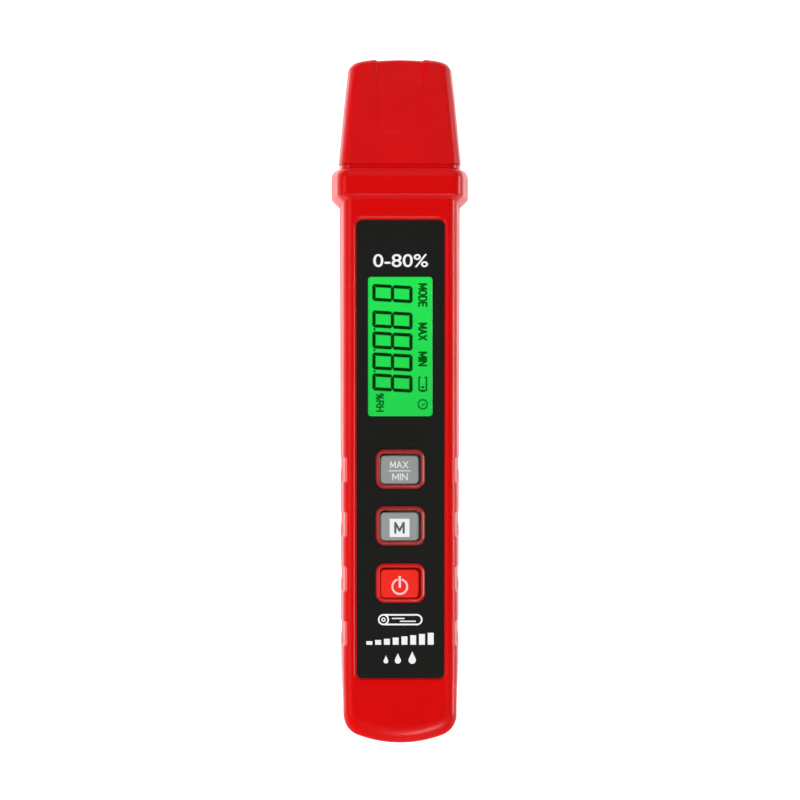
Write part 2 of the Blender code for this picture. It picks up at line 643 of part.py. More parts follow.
def make_display():
    """The glass cell, its light guide, frame, contact strip and lamp."""
    def upright_outline(width, height):
        return rounded_rect(width, height, 0.3, 0, WINDOW_Y, 1)

    width, height = GLASS_SIZE
    prism("display_glass", upright_outline(width, height), GLASS_BOTTOM_Z, GLASS_TOP_Z, "display_green")
    under = (PART_Z, GLASS_BOTTOM_Z - 0.1)
    side = width / 2 - 0.2
    low_y, high_y = WINDOW_Y - height / 2 + 1.3, WINDOW_Y + height / 2 - 1.3
    box("display_backlight", (2.4 - side, side), (low_y, high_y), under, "white_plastic")
    box("display_contact_strip", (-side, 1.6 - side), (low_y, high_y), under, "zebra_rubber")
    box("backlight_lamp", (-0.5, 2.5), (low_y - 1.3, low_y - 0.2), under, "white_plastic")
    loops = []
    for wall, z in ((1.1, PART_Z), (1.1, GLASS_TOP_Z), (0.2, GLASS_TOP_Z), (0.2, PART_Z)):
        loops.append([(u, v, z) for u, v in upright_outline(width + 2 * wall, height + 2 * wall)])
    from_loops("display_frame", loops, "black_plastic", ring=True)


def make_board():
    """The circuit board and the larger parts behind it."""
    outline = rounded_rect(2 * BOARD_HALF_WIDTH, BOARD_TOP_Y - BOARD_LOW_Y, 1.5, 0,
                           (BOARD_TOP_Y + BOARD_LOW_Y) / 2, 2)
    board = prism("main_board", outline, BOARD_BOTTOM_Z, BOARD_TOP_Z)
    for x, y in BOARD_SCREWS:
        cut(board, upright_cylinder("hole", x, y, 1.15, BOARD_BOTTOM_Z - 1, BOARD_TOP_Z + 1, sides=12))
    finish(board, "board_green")
    below = BOARD_BOTTOM_Z - 0.1
    prism("main_chip", rounded_rect(9, 9, 0.4, 0, 16, 1), below - 1.4, below, "black_plastic")
    upright_cylinder("supply_capacitor", -6, 30, 2.5, below - 5.5, below, "steel", sides=20)


def make_screw(name, x, y, seat, head_r, head, shank_r, tip_z):
    """A pan-head screw pointing up, with a crossed drive in its head."""
    profile = ((seat - head, head_r * 0.7), (seat - head * 0.6, head_r), (seat - 0.1, head_r),
               (seat - 0.1, shank_r), (tip_z - 0.8, shank_r), (tip_z, shank_r * 0.35))
    loops = []
    for z, r in profile:
        loops.append([(u, v, z) for u, v in arc(x, y, r, 0, 337.5, 15)])
    screw = from_loops(name, loops)
    arm, half, depth = head_r * 0.6, head_r * 0.14, head * 0.55
    for dx, dy in ((arm, half), (half, arm)):
        cut(screw, box("drive", (x - dx, x + dx), (y - dy, y + dy), (seat - head - 1, seat - head + depth)))
    return finish(screw, "steel")


# Batteries and contacts


def make_cell(name, x, nub_side):
    """One cell. The nub points up the meter (+1) or down it (-1)."""
    nub_tip = BAY_TOP_Y - 0.6 if nub_side > 0 else BAY_LOW_Y + 0.6
    profile = [(0, 1.6), (CELL_NUB, 1.6), (CELL_NUB, 4.6), (CELL_NUB + 0.3, CELL_R),
               (CELL_NUB + CELL_BODY - 0.3, CELL_R), (CELL_NUB + CELL_BODY, 4.9)]
    turned = [(nub_tip - nub_side * along, r) for along, r in profile]
    return turned_along_y(name, x, CELL_Z, turned, "cell_sleeve", sides=24)


def contact_plate(name, outline, y0, y1):
    """A sheet-metal contact with an outline in X and Z."""
    return from_loops(name, [[(x, y, z) for x, z in outline] for y in (y0, y1)], "steel")


def tabbed_outline(x):
    """A square contact with a tab that reaches the board."""
    low, high = CONTACT_Z
    tab_top = BOARD_BOTTOM_Z - 0.1
    right = [(4, low), (4, high), (TAB_HALF_WIDTH, high), (TAB_HALF_WIDTH, tab_top)]
    return [(x + u, z) for u, z in right] + [(x - u, z) for u, z in reversed(right)]


def make_contact_spring(name, x, y_base, direction):
    """A conical wire spring that narrows away from its plate."""
    turns, per_turn, wire_r = 4, 12, 0.3
    count = turns * per_turn + 1
    points = []
    for i in range(count):
        share = i / (count - 1)
        angle = 2 * math.pi * i / per_turn
        r = 3.6 - 1.5 * share
        y = y_base + direction * (wire_r + (SPRING_LENGTH - 2 * wire_r) * share)
        points.append((x + r * math.cos(angle), y, CELL_Z + r * math.sin(angle)))
    return wire(name, points, wire_r, "steel")


def make_contacts():
    """Plates above the cells, a bridge below them, and a spring for each cell's flat end."""
    top = BAY_TOP_Y - 0.1
    contact_plate("contact_plate_positive", tabbed_outline(-CELL_X), top - PLATE, top)
    contact_plate("contact_plate_negative", tabbed_outline(CELL_X), top - PLATE, top)
    low = BAY_LOW_Y + 0.1
    half, (low_z, high_z) = CELL_X + 4.2, CONTACT_Z
    bridge = [(-half, low_z), (half, low_z), (half, high_z), (-half, high_z)]
    contact_plate("contact_bridge", bridge, low, low + PLATE)
    make_contact_spring("contact_spring_upper", CELL_X, top - PLATE - 0.05, -1)
    make_contact_spring("contact_spring_lower", -CELL_X, low + PLATE + 0.05, 1)


# Probe


def make_probe_holder():
    """The black block that closes the neck and carries the pin sockets."""
    plug = neck_section(NECK_WALL + 0.2)
    flange = neck_section(0.1)
    lip = neck_section(0.6)
    stations = ((PLUG_LOW_Y, plug), (FLANGE_Y[0], plug), (FLANGE_Y[0], flange), (FLANGE_Y[1] - 0.5, flange),
                (FLANGE_Y[1], lip))
    holder = loft_along_y("probe_holder", stations)
    for x in (-PIN_X, PIN_X):
        seat_r = SOCKET_R + 0.15
        seat = ((PLUG_LOW_Y - 1, seat_r), (FLANGE_Y[1] + 1, seat_r))
        cut(holder, turned_along_y("socket_seat", x, SPLIT_Z, seat, sides=20))
    return finish(holder, "black_plastic")


def make_probe(name, x):
    """A pin, the brass socket that it screws into, and the insulated lead to the board."""
    foot = FLANGE_Y[1] + 0.4
    knurl = [(foot, PIN_KNURL_R - 0.3), (foot + 0.2, PIN_KNURL_R), (foot + 1.8, PIN_KNURL_R),
             (foot + 2.1, PIN_KNURL_R - 0.4)]
    profile = [(PIN_LOW_Y, PIN_SHANK_R), (foot, PIN_SHANK_R), *knurl, (foot + 2.1, PIN_R),
               (PIN_TIP_Y - 3.6, PIN_R), (PIN_TIP_Y - 1.4, PIN_R / 2), (PIN_TIP_Y, 0.08)]
    turned_along_y(f"probe_pin_{name}", x, SPLIT_Z, profile, "steel", sides=20)
    barrel_ends = ((SOCKET_LOW_Y, SOCKET_R), (FLANGE_Y[1] + 0.2, SOCKET_R))
    socket = turned_along_y(f"pin_socket_{name}", x, SPLIT_Z, barrel_ends, sides=20)
    bore_r = PIN_SHANK_R + 0.25
    bore = ((SOCKET_BORE_Y, bore_r), (FLANGE_Y[1] + 2, bore_r))
    cut(socket, turned_along_y("socket_bore", x, SPLIT_Z, bore, sides=20))
    finish(socket, "brass")
    make_lead(f"probe_lead_{name}", x)


def make_lead(name, x):
    """A short wire from the back of a socket down to the front of the board."""
    start = (x, SOCKET_LOW_Y - GAP, SPLIT_Z)
    end = (x * 1.15, BOARD_TOP_Y - 1.4, PART_Z + LEAD_R + 0.15)
    steps = 16
    points = []
    for i in range(steps + 1):
        share = i / steps
        blend = share * share * (3 - 2 * share)
        points.append([a + (b - a) * t for a, b, t in zip(start, end, (blend, share, blend))])
    return wire(name, points, LEAD_R, "black_plastic" if x < 0 else "red_plastic")


def hang(obj, point, *riders):
    """Puts a moving piece's origin on its joint's axis, leaves it in place and parents its riders to it."""
    for piece in (obj, *riders):
        piece.data.transform(Matrix.Translation(-Vector(point)))
    obj.location = point
    for rider in riders:
        rider.parent = obj


def main():
    for obj in list(bpy.data.objects):
        bpy.data.objects.remove(obj)
    make_front_shell()
    make_rear_shell()
    hang(make_battery_door(), (0, DOOR_TOP_Y, 0))
    hang(make_probe_cap(), (0, CAP_BASE_Y, SPLIT_Z))
    make_face_panel()
    make_display_window()
    for name, y in zip(KEY_NAMES, KEY_YS):
        key = make_key(name, y, "red_rubber" if name == "power" else "grey_rubber")
        hang(key, (0, y, KEY_TOP_Z), make_switch(name, y))
    make_display()
    make_board()
    make_cell("battery_left", -CELL_X, 1)
    make_cell("battery_right", CELL_X, -1)
    make_contacts()
    make_probe_holder()
    make_probe("left", -PIN_X)
    make_probe("right", PIN_X)
    for i, (x, y, seat) in enumerate(CASE_SCREWS):
        make_screw(f"case_screw_{i + 1}", x, y, seat, SCREW_HEAD_R, SCREW_HEAD, SCREW_SHANK_R, SCREW_TIP_Z)
    for i, (x, y) in enumerate(BOARD_SCREWS):
        make_screw(f"board_screw_{i + 1}", x, y, BOARD_BOTTOM_Z, *BOARD_SCREW)
    for obj in bpy.data.objects:
        obj.data.transform(Matrix.Scale(MM, 4))
        obj.location *= MM


main()
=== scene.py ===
"""The looks of the pocket moisture meter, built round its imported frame.

The meter lies on its back: X across it, +Y towards its probe pins, +Z out of its face. Shapes are
worked out in millimetres, and put() brings each finished mesh to metres.
"""

import math

import bmesh
import bpy
from mathutils import Matrix, Vector
from mathutils.geometry import delaunay_2d_cdt


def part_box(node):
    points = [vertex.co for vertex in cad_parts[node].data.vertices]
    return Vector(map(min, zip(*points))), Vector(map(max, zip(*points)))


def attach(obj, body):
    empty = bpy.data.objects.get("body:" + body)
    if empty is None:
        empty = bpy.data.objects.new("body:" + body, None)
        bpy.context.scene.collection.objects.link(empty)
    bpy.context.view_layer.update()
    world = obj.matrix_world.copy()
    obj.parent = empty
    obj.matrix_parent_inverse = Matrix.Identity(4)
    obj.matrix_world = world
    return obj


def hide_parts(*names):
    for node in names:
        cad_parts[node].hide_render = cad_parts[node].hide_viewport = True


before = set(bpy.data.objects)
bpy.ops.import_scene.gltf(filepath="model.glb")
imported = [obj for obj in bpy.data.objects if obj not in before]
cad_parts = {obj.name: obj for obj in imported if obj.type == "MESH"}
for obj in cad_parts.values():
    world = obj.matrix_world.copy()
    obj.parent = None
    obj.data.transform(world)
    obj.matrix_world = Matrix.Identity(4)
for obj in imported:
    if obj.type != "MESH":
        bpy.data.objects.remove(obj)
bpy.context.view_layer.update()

MM = 0.001

# Housing
LENGTH = 172.0
SPLIT_Z = 12.5
SEAM = 0.1
FACE_Z, BACK_Z = 24.0, 0.0
HALF_TOP, HALF_LOW = 15.25, 14.8
TOP_Y, TOP_R = 57.5, 2.0
CORNER_R, END_R, END_NARROW = 5.5, 30.0, 0.5
CORNER_X = HALF_LOW - END_NARROW - CORNER_R
END_Y = END_R - LENGTH / 2
CORNER_Y = END_Y - math.sqrt((END_R - CORNER_R) ** 2 - CORNER_X**2)
DRAFT, DRAFT_LOW, WALL = 0.9, 0.45, 1.9  # the draft at the collar, its share at the last notch
FRONT_FILLET, BACK_FILLET = 2.4, 2.6
END_CREST_R, END_SLOPE, END_SLOPE_LENGTH, END_EDGE_R = 4.5, 35, 1.3, 0.8
SEAM_ROUND = 0.22
RIM_WIDTH, FIELD_Z, FIELD_TOP_Y, FIELD_LOW_Y, FIELD_R = 0.8, 23.62, 45.72, -69.8, 1.4

# Grip notches
NOTCH_TOP_Y, NOTCH_PITCH, NOTCH_LENGTH, NOTCH_DEPTH, NOTCHES = -14.15, 13.7, 6.6, 0.45, 4
NOTCH_FREE_Y = -64.0  # below the last notch

# Collar and neck
COLLAR_HALF_WIDTH, COLLAR_HALF_DEPTH = 17.3, 12.5
COLLAR_TOP_Y, COLLAR_LOW_Y, COLLAR_DIP = 58.5, 49.8, 1.1
COLLAR_LEAN, COLLAR_FILLET = 1.35, 2.8
NECK_HALF_WIDTH, NECK_HALF_DEPTH, NECK_TOP_Y, NECK_WALL, NECK_LEAN = 12.3, 7.4, 69.0, 1.5, 0.3

# Cap
CAP_BASE_Y, CAP_TIP_Y = 59.5, LENGTH / 2 + 0.4
CAP_BASE_HALF, CAP_TIP_HALF = (15.5, 11.0), (13.0, 7.7)
CAP_WALL, CAP_FILLET, CAP_TIP_ROUND, CAP_LEAN = 1.6, 2.4, 1.9, 0.5
CAP_BOW, CAP_BOW_Y, CAP_BASE_ROUND = 0.0085, 74.0, 0.35
CHANNEL_LOW_Y, CHANNEL_DEEP_Y, CHANNEL_HALF_LENGTH = 67.7, 79.0, 20.0
CHANNEL_HALF, CHANNEL_R, CHANNEL_DEPTH, CHANNEL_EDGE = 5.75, 2.2, 0.45, 0.9

# Face panel, window and keys
PANEL_SIZE, PANEL_Y, PANEL_R, PANEL_TOP_Z = (22.1, 115.1), -12.15, 1.4, 23.86
PANEL_TAPER, PANEL_SHIFT = 0.0001, 0.05
WINDOW_SIZE, WINDOW_Y, WINDOW_R = (16.1, 34.9), 13.62, 0.75
GLASS_Z = 22.9
KEYS = ("max_min", "mode", "power")
KEY_SIZE, KEY_R, KEY_TOP_Z, KEY_SHIFT = (9.65, 7.15), 1.05, 24.45, (-0.17, -0.08)
RIM_SIZE, RIM_R, RIM_TOP_Z, RIM_SHIFT = (12.4, 9.9), 2.3, 24.7, (0.04, 0.1)
FACE_CUT = (20, 26)  # how deep the openings in the face are cut
PRINT = 0.02  # the thickness of printed ink
MARK_CHANGE = 0.022  # how far handling marks change a moulding's roughness


# Materials


def sRGB(r, g, b):
    """A colour given as 8-bit screen values, as linear light."""
    values = [v / 255 for v in (r, g, b)]
    return [v / 12.92 if v < 0.04045 else ((v + 0.055) / 1.055) ** 2.4 for v in values]


def shader(name):
    """A new material's nodes, its links and its Principled BSDF."""
    made = bpy.data.materials.new(name)
    made.use_nodes = True
    tree = made.node_tree
    return made, tree.nodes, tree.links, tree.nodes["Principled BSDF"]


def add(nodes, kind, values):
    """A new node, with the values of its inputs."""
    node = nodes.new(f"ShaderNode{kind}")
    fill(node, values)
    return node


def fill(node, values):
    for name, value in values.items():
        node.inputs[name].default_value = value


def noise(nodes, links, scale, detail, stretch=(1, 1, 1)):
    """A noise texture in the object's own space. Scale is features for each metre."""
    where = nodes.new("ShaderNodeTexCoord")
    mapping = add(nodes, "Mapping", {"Scale": stretch})
    texture = add(nodes, "TexNoise", {"Scale": scale, "Detail": detail})
    links.new(where.outputs["Object"], mapping.inputs["Vector"])
    links.new(mapping.outputs["Vector"], texture.inputs["Vector"])
    return texture


def spread(nodes, links, source, low, high):
    """Maps a noise value's usual range, 0.3 to 0.7, to low..high."""
    mapped = add(nodes, "MapRange", {"From Min": 0.3, "From Max": 0.7, "To Min": low, "To Max": high})
    links.new(source.outputs["Fac"], mapped.inputs["Value"])
    return mapped.outputs["Result"]


def tinted(nodes, links, source, colour, change):
    """A colour that varies a little, darker and lighter, with a noise."""
    mix = nodes.new("ShaderNodeMix")
    mix.data_type = "RGBA"
    low, high = [c * (1 - change) for c in colour], [min(1, c * (1 + change)) for c in colour]
    mix.inputs["A"].default_value, mix.inputs["B"].default_value = (*low, 1), (*high, 1)
    links.new(spread(nodes, links, source, 0, 1), mix.inputs["Factor"])
    return mix.outputs["Result"]


def bumped(nodes, links, source, distance, strength, under=None):
    """A bump from a noise. Distance is in millimetres."""
    bump = add(nodes, "Bump", {"Distance": distance * MM, "Strength": strength})
    links.new(source.outputs["Fac"], bump.inputs["Height"])
    if under:
        links.new(under, bump.inputs["Normal"])
    return bump.outputs["Normal"]


def moulded(name, colour, roughness, grain=3200, depth=0.012, specular=0.5, change=0.03):
    """Moulded plastic or rubber: fine grain, slow colour drift and handling marks in its gloss."""
    made, nodes, links, principled = shader(name)
    slow = noise(nodes, links, 55, 3)
    marks = noise(nodes, links, 420, 4, (1, 0.35, 1))
    fine = noise(nodes, links, grain, 2)
    links.new(tinted(nodes, links, slow, colour, change), principled.inputs["Base Color"])
    rough = spread(nodes, links, marks, roughness - MARK_CHANGE, roughness + MARK_CHANGE)
    links.new(rough, principled.inputs["Roughness"])
    waves = bumped(nodes, links, noise(nodes, links, 110, 1), 0.05, 0.12)
    links.new(bumped(nodes, links, fine, depth, 0.6, waves), principled.inputs["Normal"])
    principled.inputs["Specular IOR Level"].default_value = specular
    return made


def metal(name, colour, roughness, stretch):
    """Turned or drawn metal, with fine lines along one axis."""
    made, nodes, links, principled = shader(name)
    lines = noise(nodes, links, 900, 3, stretch)
    links.new(tinted(nodes, links, lines, colour, 0.06), principled.inputs["Base Color"])
    rough = spread(nodes, links, lines, roughness - 0.06, roughness + 0.08)
    links.new(rough, principled.inputs["Roughness"])
    links.new(bumped(nodes, links, lines, 0.006, 0.4), principled.inputs["Normal"])
    principled.inputs["Metallic"].default_value = 1.0
    return made


def along(nodes, links, low, high):
    """How far along Y a point is: 0 at low and 1 at high."""
    where = nodes.new("ShaderNodeTexCoord")
    split = nodes.new("ShaderNodeSeparateXYZ")
    share = add(nodes, "MapRange", {"From Min": low, "From Max": high})
    links.new(where.outputs["Object"], split.inputs["Vector"])
    links.new(split.outputs["Y"], share.inputs["Value"])
    return share.outputs["Result"]


def ramp(nodes, links, source, stops, interpolation="LINEAR"):
    """A colour that changes with a value, through (value, colour) stops."""
    made = nodes.new("ShaderNodeValToRGB")
    made.color_ramp.interpolation = interpolation
    elements = made.color_ramp.elements
    for place, _ in stops[2:]:
        elements.new(place)
    for element, (place, colour) in zip(elements, stops):
        element.position = place
        element.color = (*colour, 1)
    links.new(source, made.inputs["Fac"])
    return made.outputs["Color"]


def clear_plastic():
    made, nodes, links, principled = shader("clear_window")
    fill(principled, {"Base Color": (0.97, 1.0, 0.98, 1), "Transmission Weight": 1.0, "IOR": 1.49,
                      "Specular IOR Level": 0.12})
    haze = noise(nodes, links, 700, 3)
    links.new(spread(nodes, links, haze, 0.0, 0.03), principled.inputs["Roughness"])
    return made


def lit_display():
    """The lit cell: an even green glow, a little weaker towards the lower end."""
    made, nodes, links, principled = shader("lit_display")
    low, high = [(WINDOW_Y + end * WINDOW_SIZE[1] / 2) * MM for end in (-1, 1)]
    mix = nodes.new("ShaderNodeMix")
    mix.data_type = "RGBA"
    mix.inputs["A"].default_value = (*sRGB(0, 220, 72), 1)
    mix.inputs["B"].default_value = (*sRGB(0, 240, 80), 1)
    links.new(along(nodes, links, low, high), mix.inputs["Factor"])
    cells = noise(nodes, links, 5200, 1)
    fleck = nodes.new("ShaderNodeMix")
    fleck.data_type = "RGBA"
    fleck.blend_type = "MULTIPLY"
    fleck.inputs["B"].default_value = (0.93, 0.95, 0.93, 1)
    links.new(spread(nodes, links, cells, 0, 1), fleck.inputs["Factor"])
    links.new(mix.outputs["Result"], fleck.inputs["A"])
    links.new(fleck.outputs["Result"], principled.inputs["Emission Color"])
    fill(principled, {"Base Color": (0.002, 0.05, 0.01, 1), "Emission Strength": 0.92, "Roughness": 0.5})
    return made


def battery_sleeve():
    """A cell's printed sleeve: dark, with a coloured band at one end, and bare metal ends."""
    made, nodes, links, principled = shader("battery_sleeve")
    low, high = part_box("battery_left")
    metal_end, band, dark = (0.55, 0.55, 0.55), (0.42, 0.2, 0.04), (0.02, 0.02, 0.024)
    stops = ((0.0, metal_end), (0.035, band), (0.26, dark), (0.965, metal_end))
    colours = ramp(nodes, links, along(nodes, links, low.y, high.y), stops, "CONSTANT")
    links.new(colours, principled.inputs["Base Color"])
    scuffs = noise(nodes, links, 600, 4)
    links.new(spread(nodes, links, scuffs, 0.22, 0.36), principled.inputs["Roughness"])
    principled.inputs["Metallic"].default_value = 0.5
    return made


def circuit_board():
    """Green solder mask with copper tracks under it, as a maze of fine straight lines."""
    made, nodes, links, principled = shader("circuit_board")
    where = nodes.new("ShaderNodeTexCoord")
    bricks = add(nodes, "TexBrick", {"Scale": 420, "Mortar Size": 0.06, "Mortar": (0.05, 0.27, 0.1, 1),
                                     "Color1": (0.012, 0.12, 0.045, 1), "Color2": (0.015, 0.15, 0.055, 1)})
    links.new(where.outputs["Object"], bricks.inputs["Vector"])
    links.new(bricks.outputs["Color"], principled.inputs["Base Color"])
    links.new(bumped(nodes, links, noise(nodes, links, 1500, 2), 0.01, 0.4), principled.inputs["Normal"])
    principled.inputs["Roughness"].default_value = 0.38
    return made


SOFT = {"grain": 4200, "depth": 0.014, "specular": 0.25}
PRINTED = {"specular": 0.2, "change": 0.01}
SEGMENT_LOOK = {"specular": 0.05, "change": 0.04}
# Each moulding's colour, its roughness and what else sets it apart
MOULDINGS = {
    "body_red": (sRGB(222, 4, 5), 0.3, {"specular": 0.25}),
    "cap_red": (sRGB(218, 0, 5), 0.38, {"grain": 1900, "depth": 0.03, "specular": 0.25, "change": 0.05}),
    # The key rims are the shell's red plastic with painted shade and a painted sheen: darker and greyer
    # round the grey keys, a little darker and paler round the power key
    "rim_shade_and_sheen_red": (sRGB(168, 44, 38), 0.4, {}),
    "power_rim_shade_and_sheen_red": (sRGB(214, 26, 26), 0.36, {}),
    "panel_black": (sRGB(28, 28, 26), 0.6, {"grain": 5200, "depth": 0.006, "specular": 0.12}),
    "key_grey": (sRGB(153, 158, 156), 0.62, {**SOFT, "change": 0.04}),
    "key_red": (sRGB(246, 40, 29), 0.55, SOFT),
    "ink_white": (sRGB(248, 248, 248), 0.6, PRINTED),
    "ink_pale": (sRGB(228, 231, 230), 0.6, PRINTED),
    "ink_pink": (sRGB(255, 208, 210), 0.6, PRINTED),
    "ink_grey": (sRGB(96, 101, 100), 0.6, {**PRINTED, "change": 0.02}),
    "segment_dark": (sRGB(0, 52, 2), 0.7, SEGMENT_LOOK),
    "segment_mid": (sRGB(0, 92, 12), 0.7, SEGMENT_LOOK),
    "segment_pale": (sRGB(0, 138, 36), 0.7, SEGMENT_LOOK),
    "black_plastic": ((0.014, 0.014, 0.015), 0.42, {}),
    "white_plastic": ((0.75, 0.75, 0.72), 0.45, {}),
    "contact_rubber": ((0.55, 0.28, 0.26), 0.7, {}),
    "wire_red": ((0.5, 0.01, 0.01), 0.45, {}),
}
MATERIALS = {name: moulded(name, colour, roughness, **rest)
             for name, (colour, roughness, rest) in MOULDINGS.items()}
MATERIALS["steel"] = metal("steel", (0.62, 0.62, 0.63), 0.24, (1, 6, 1))
MATERIALS["brass"] = metal("brass", (0.72, 0.5, 0.2), 0.28, (1, 6, 1))
MATERIALS["aluminium"] = metal("aluminium", (0.75, 0.75, 0.77), 0.3, (1, 1, 8))
MATERIALS["clear_window"] = clear_plastic()
MATERIALS["lit_display"] = lit_display()
MATERIALS["battery_sleeve"] = battery_sleeve()
MATERIALS["circuit_board"] = circuit_board()


# Meshes


def stand(name, data):
    """A new object in the scene."""
    obj = bpy.data.objects.new(name, data)
    bpy.context.scene.collection.objects.link(obj)
    return obj


def stand_bmesh(name, bm):
    mesh = bpy.data.meshes.new(name)
    bm.to_mesh(mesh)
    bm.free()
    return stand(name, mesh)


def solid(name, loops, ring=False, open_end=False):
    """A closed mesh, in millimetres, through loops of equally many points.

    A ring's last loop joins its first. open_end leaves the last loop unfilled.
    """
    bm = bmesh.new()
    rows = [[bm.verts.new(p) for p in loop] for loop in loops]
    count = len(loops[0])
    pairs = list(zip(rows, rows[1:]))
    if ring:
        pairs.append((rows[-1], rows[0]))
    for low, high in pairs:
        for i in range(count):
            j = (i + 1) % count
            bm.faces.new((low[i], low[j], high[j], high[i]))
    if not ring:
        bm.faces.new(rows[0])
        if not open_end:
            bm.faces.new(rows[-1])
    bm.normal_update()
    bmesh.ops.recalc_face_normals(bm, faces=bm.faces)
    return stand_bmesh(name, bm)


def settle(obj):
    """Applies an object's modifiers."""
    graph = bpy.context.evaluated_depsgraph_get()
    made = bpy.data.meshes.new_from_object(obj.evaluated_get(graph))
    obj.modifiers.clear()
    old = obj.data
    obj.data = made
    bpy.data.meshes.remove(old)


def combine(obj, other, operation):
    modifier = obj.modifiers.new("combine", "BOOLEAN")
    modifier.object = other
    modifier.operation = operation
    settle(obj)
    bpy.data.meshes.remove(other.data)
    return obj


def join(obj, *others):
    for other in others:
        combine(obj, other, "UNION")
    return obj


def cut(obj, *others):
    for other in others:
        combine(obj, other, "DIFFERENCE")
    return obj


def bevel(obj, width):
    """Rounds a piece's sharp edges."""
    modifier = obj.modifiers.new("bevel", "BEVEL")
    modifier.width = width
    modifier.segments = 2
    modifier.limit_method = "ANGLE"
    modifier.angle_limit = math.radians(40)
    modifier.harden_normals = False
    settle(obj)


def put(obj, material, body, slot, *nodes, sharp=38):
    """Finishes a piece: metres, smooth shading, material, the body it rides on and what it replaces."""
    obj.data.transform(Matrix.Scale(MM, 4))
    obj.data.materials.clear()
    obj.data.materials.append(MATERIALS[material])
    obj.data.shade_smooth()
    obj.data.set_sharp_from_angle(angle=math.radians(sharp))
    weighted = obj.modifiers.new("weighted", "WEIGHTED_NORMAL")
    weighted.keep_sharp = True
    weighted.weight = 80
    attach(obj, body)
    if nodes:
        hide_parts(*nodes)


# Outlines


def smooth(t):
    t = min(1.0, max(0.0, t))
    return t * t * (3 - 2 * t)


def arc(cx, cy, r, start, end, steps):
    angles = [math.radians(start + (end - start) * i / steps) for i in range(steps + 1)]
    return [(cx + r * math.cos(a), cy + r * math.sin(a)) for a in angles]


def rounded_rect(width, height, r, cx=0.0, cy=0.0, steps=8):
    x, y = width / 2 - r, height / 2 - r
    corners = ((x, y, 0), (-x, y, 90), (-x, -y, 180), (x, -y, 270))
    return [p for dx, dy, a in corners for p in arc(cx + dx, cy + dy, r, a, a + 90, steps)]


def at(z, outline):
    return [(x, y, z) for x, y in outline]


def prism(name, outline, z0, z1):
    return solid(name, [at(z0, outline), at(z1, outline)])


def bar(x0, x1, y0, y1):
    return [(x0, y0), (x1, y0), (x1, y1), (x0, y1)]


def slab(name, x, y, z):
    return prism(name, bar(*x, *y), *z)


def round_loop(cx, cy, r, sides):
    return arc(cx, cy, r, 0, 360 - 360 / sides, sides - 1)


def upright(name, x, y, r, z0, z1):
    return prism(name, round_loop(x, y, r, 40), z0, z1)


def turned(name, x, z, profile):
    """A solid of revolution about a line along Y, through (y, radius) pairs."""
    return solid(name, [[(u, y, v) for u, v in round_loop(x, z, r, 48)] for y, r in profile])


# Housing


def side_ys():
    """Places down a side, close together round each notch's ends."""
    places = [TOP_Y - TOP_R - 2.0 * i for i in range(int((TOP_Y - TOP_R - CORNER_Y) / 2.0))]
    for i in range(NOTCHES):
        top = NOTCH_TOP_Y - i * NOTCH_PITCH
        low = top - NOTCH_LENGTH
        places += [top + 0.3 - 0.15 * j for j in range(7)] + [top - 1.2 - 0.7 * j for j in range(6)]
        places += [low + 1.1 - 0.2 * j for j in range(8)]
    places = sorted(set(round(y, 3) for y in places), reverse=True)
    kept = [places[0]]
    for y in places[1:]:
        if kept[-1] - y > 0.12:
            kept.append(y)
    return [y for y in kept if y > CORNER_Y + 0.5]


SIDE_YS = side_ys()


def down_share(y):
    """0 at the housing's upper end and 1 at its lower corners, and 0 to 1 below the last notch."""
    return (TOP_Y - y) / (TOP_Y - CORNER_Y), smooth((NOTCH_FREE_Y - y) / (NOTCH_FREE_Y - CORNER_Y))


def side_x(y):
    """Half the housing's width, which narrows a little more below the last notch."""
    share, end = down_share(y)
    return HALF_TOP + (HALF_LOW - HALF_TOP) * share - END_NARROW * end


def draft_spare(y, z):
    """How much less a side leans in than at the collar: the lower it is, the more upright."""
    share, end = down_share(y)
    wall = (FACE_Z - FRONT_FILLET if z > SPLIT_Z else BACK_Z + BACK_FILLET) - SPLIT_Z
    lean = (1 - (1 - DRAFT_LOW) * share) * (1 - 0.8 * end)
    return DRAFT * (1 - lean) * min(1.0, (z - SPLIT_Z) / wall)


def notch_depth(y, z):
    """How far the grip notches sink a side wall: deep on the shoulder, shallow or nothing at the seam."""
    along = (NOTCH_TOP_Y - y) % NOTCH_PITCH
    inside = NOTCH_TOP_Y - (NOTCHES - 1) * NOTCH_PITCH - NOTCH_LENGTH < y < NOTCH_TOP_Y
    if not inside or along > NOTCH_LENGTH:
        return 0.0
    ends = smooth(along / 0.4) * smooth((NOTCH_LENGTH - along) / 0.7)
    away = abs(z - SPLIT_Z)
    seam = 0.4 * (1 - smooth((along - 2.6) / 1.4))
    rise = seam + (1 - seam) * smooth((away - 0.4) / 3.2)
    reach = FACE_Z - SPLIT_Z if z > SPLIT_Z else SPLIT_Z - BACK_Z
    return NOTCH_DEPTH * ends * rise * (1 - smooth((away - reach + 1.1) / 0.8))


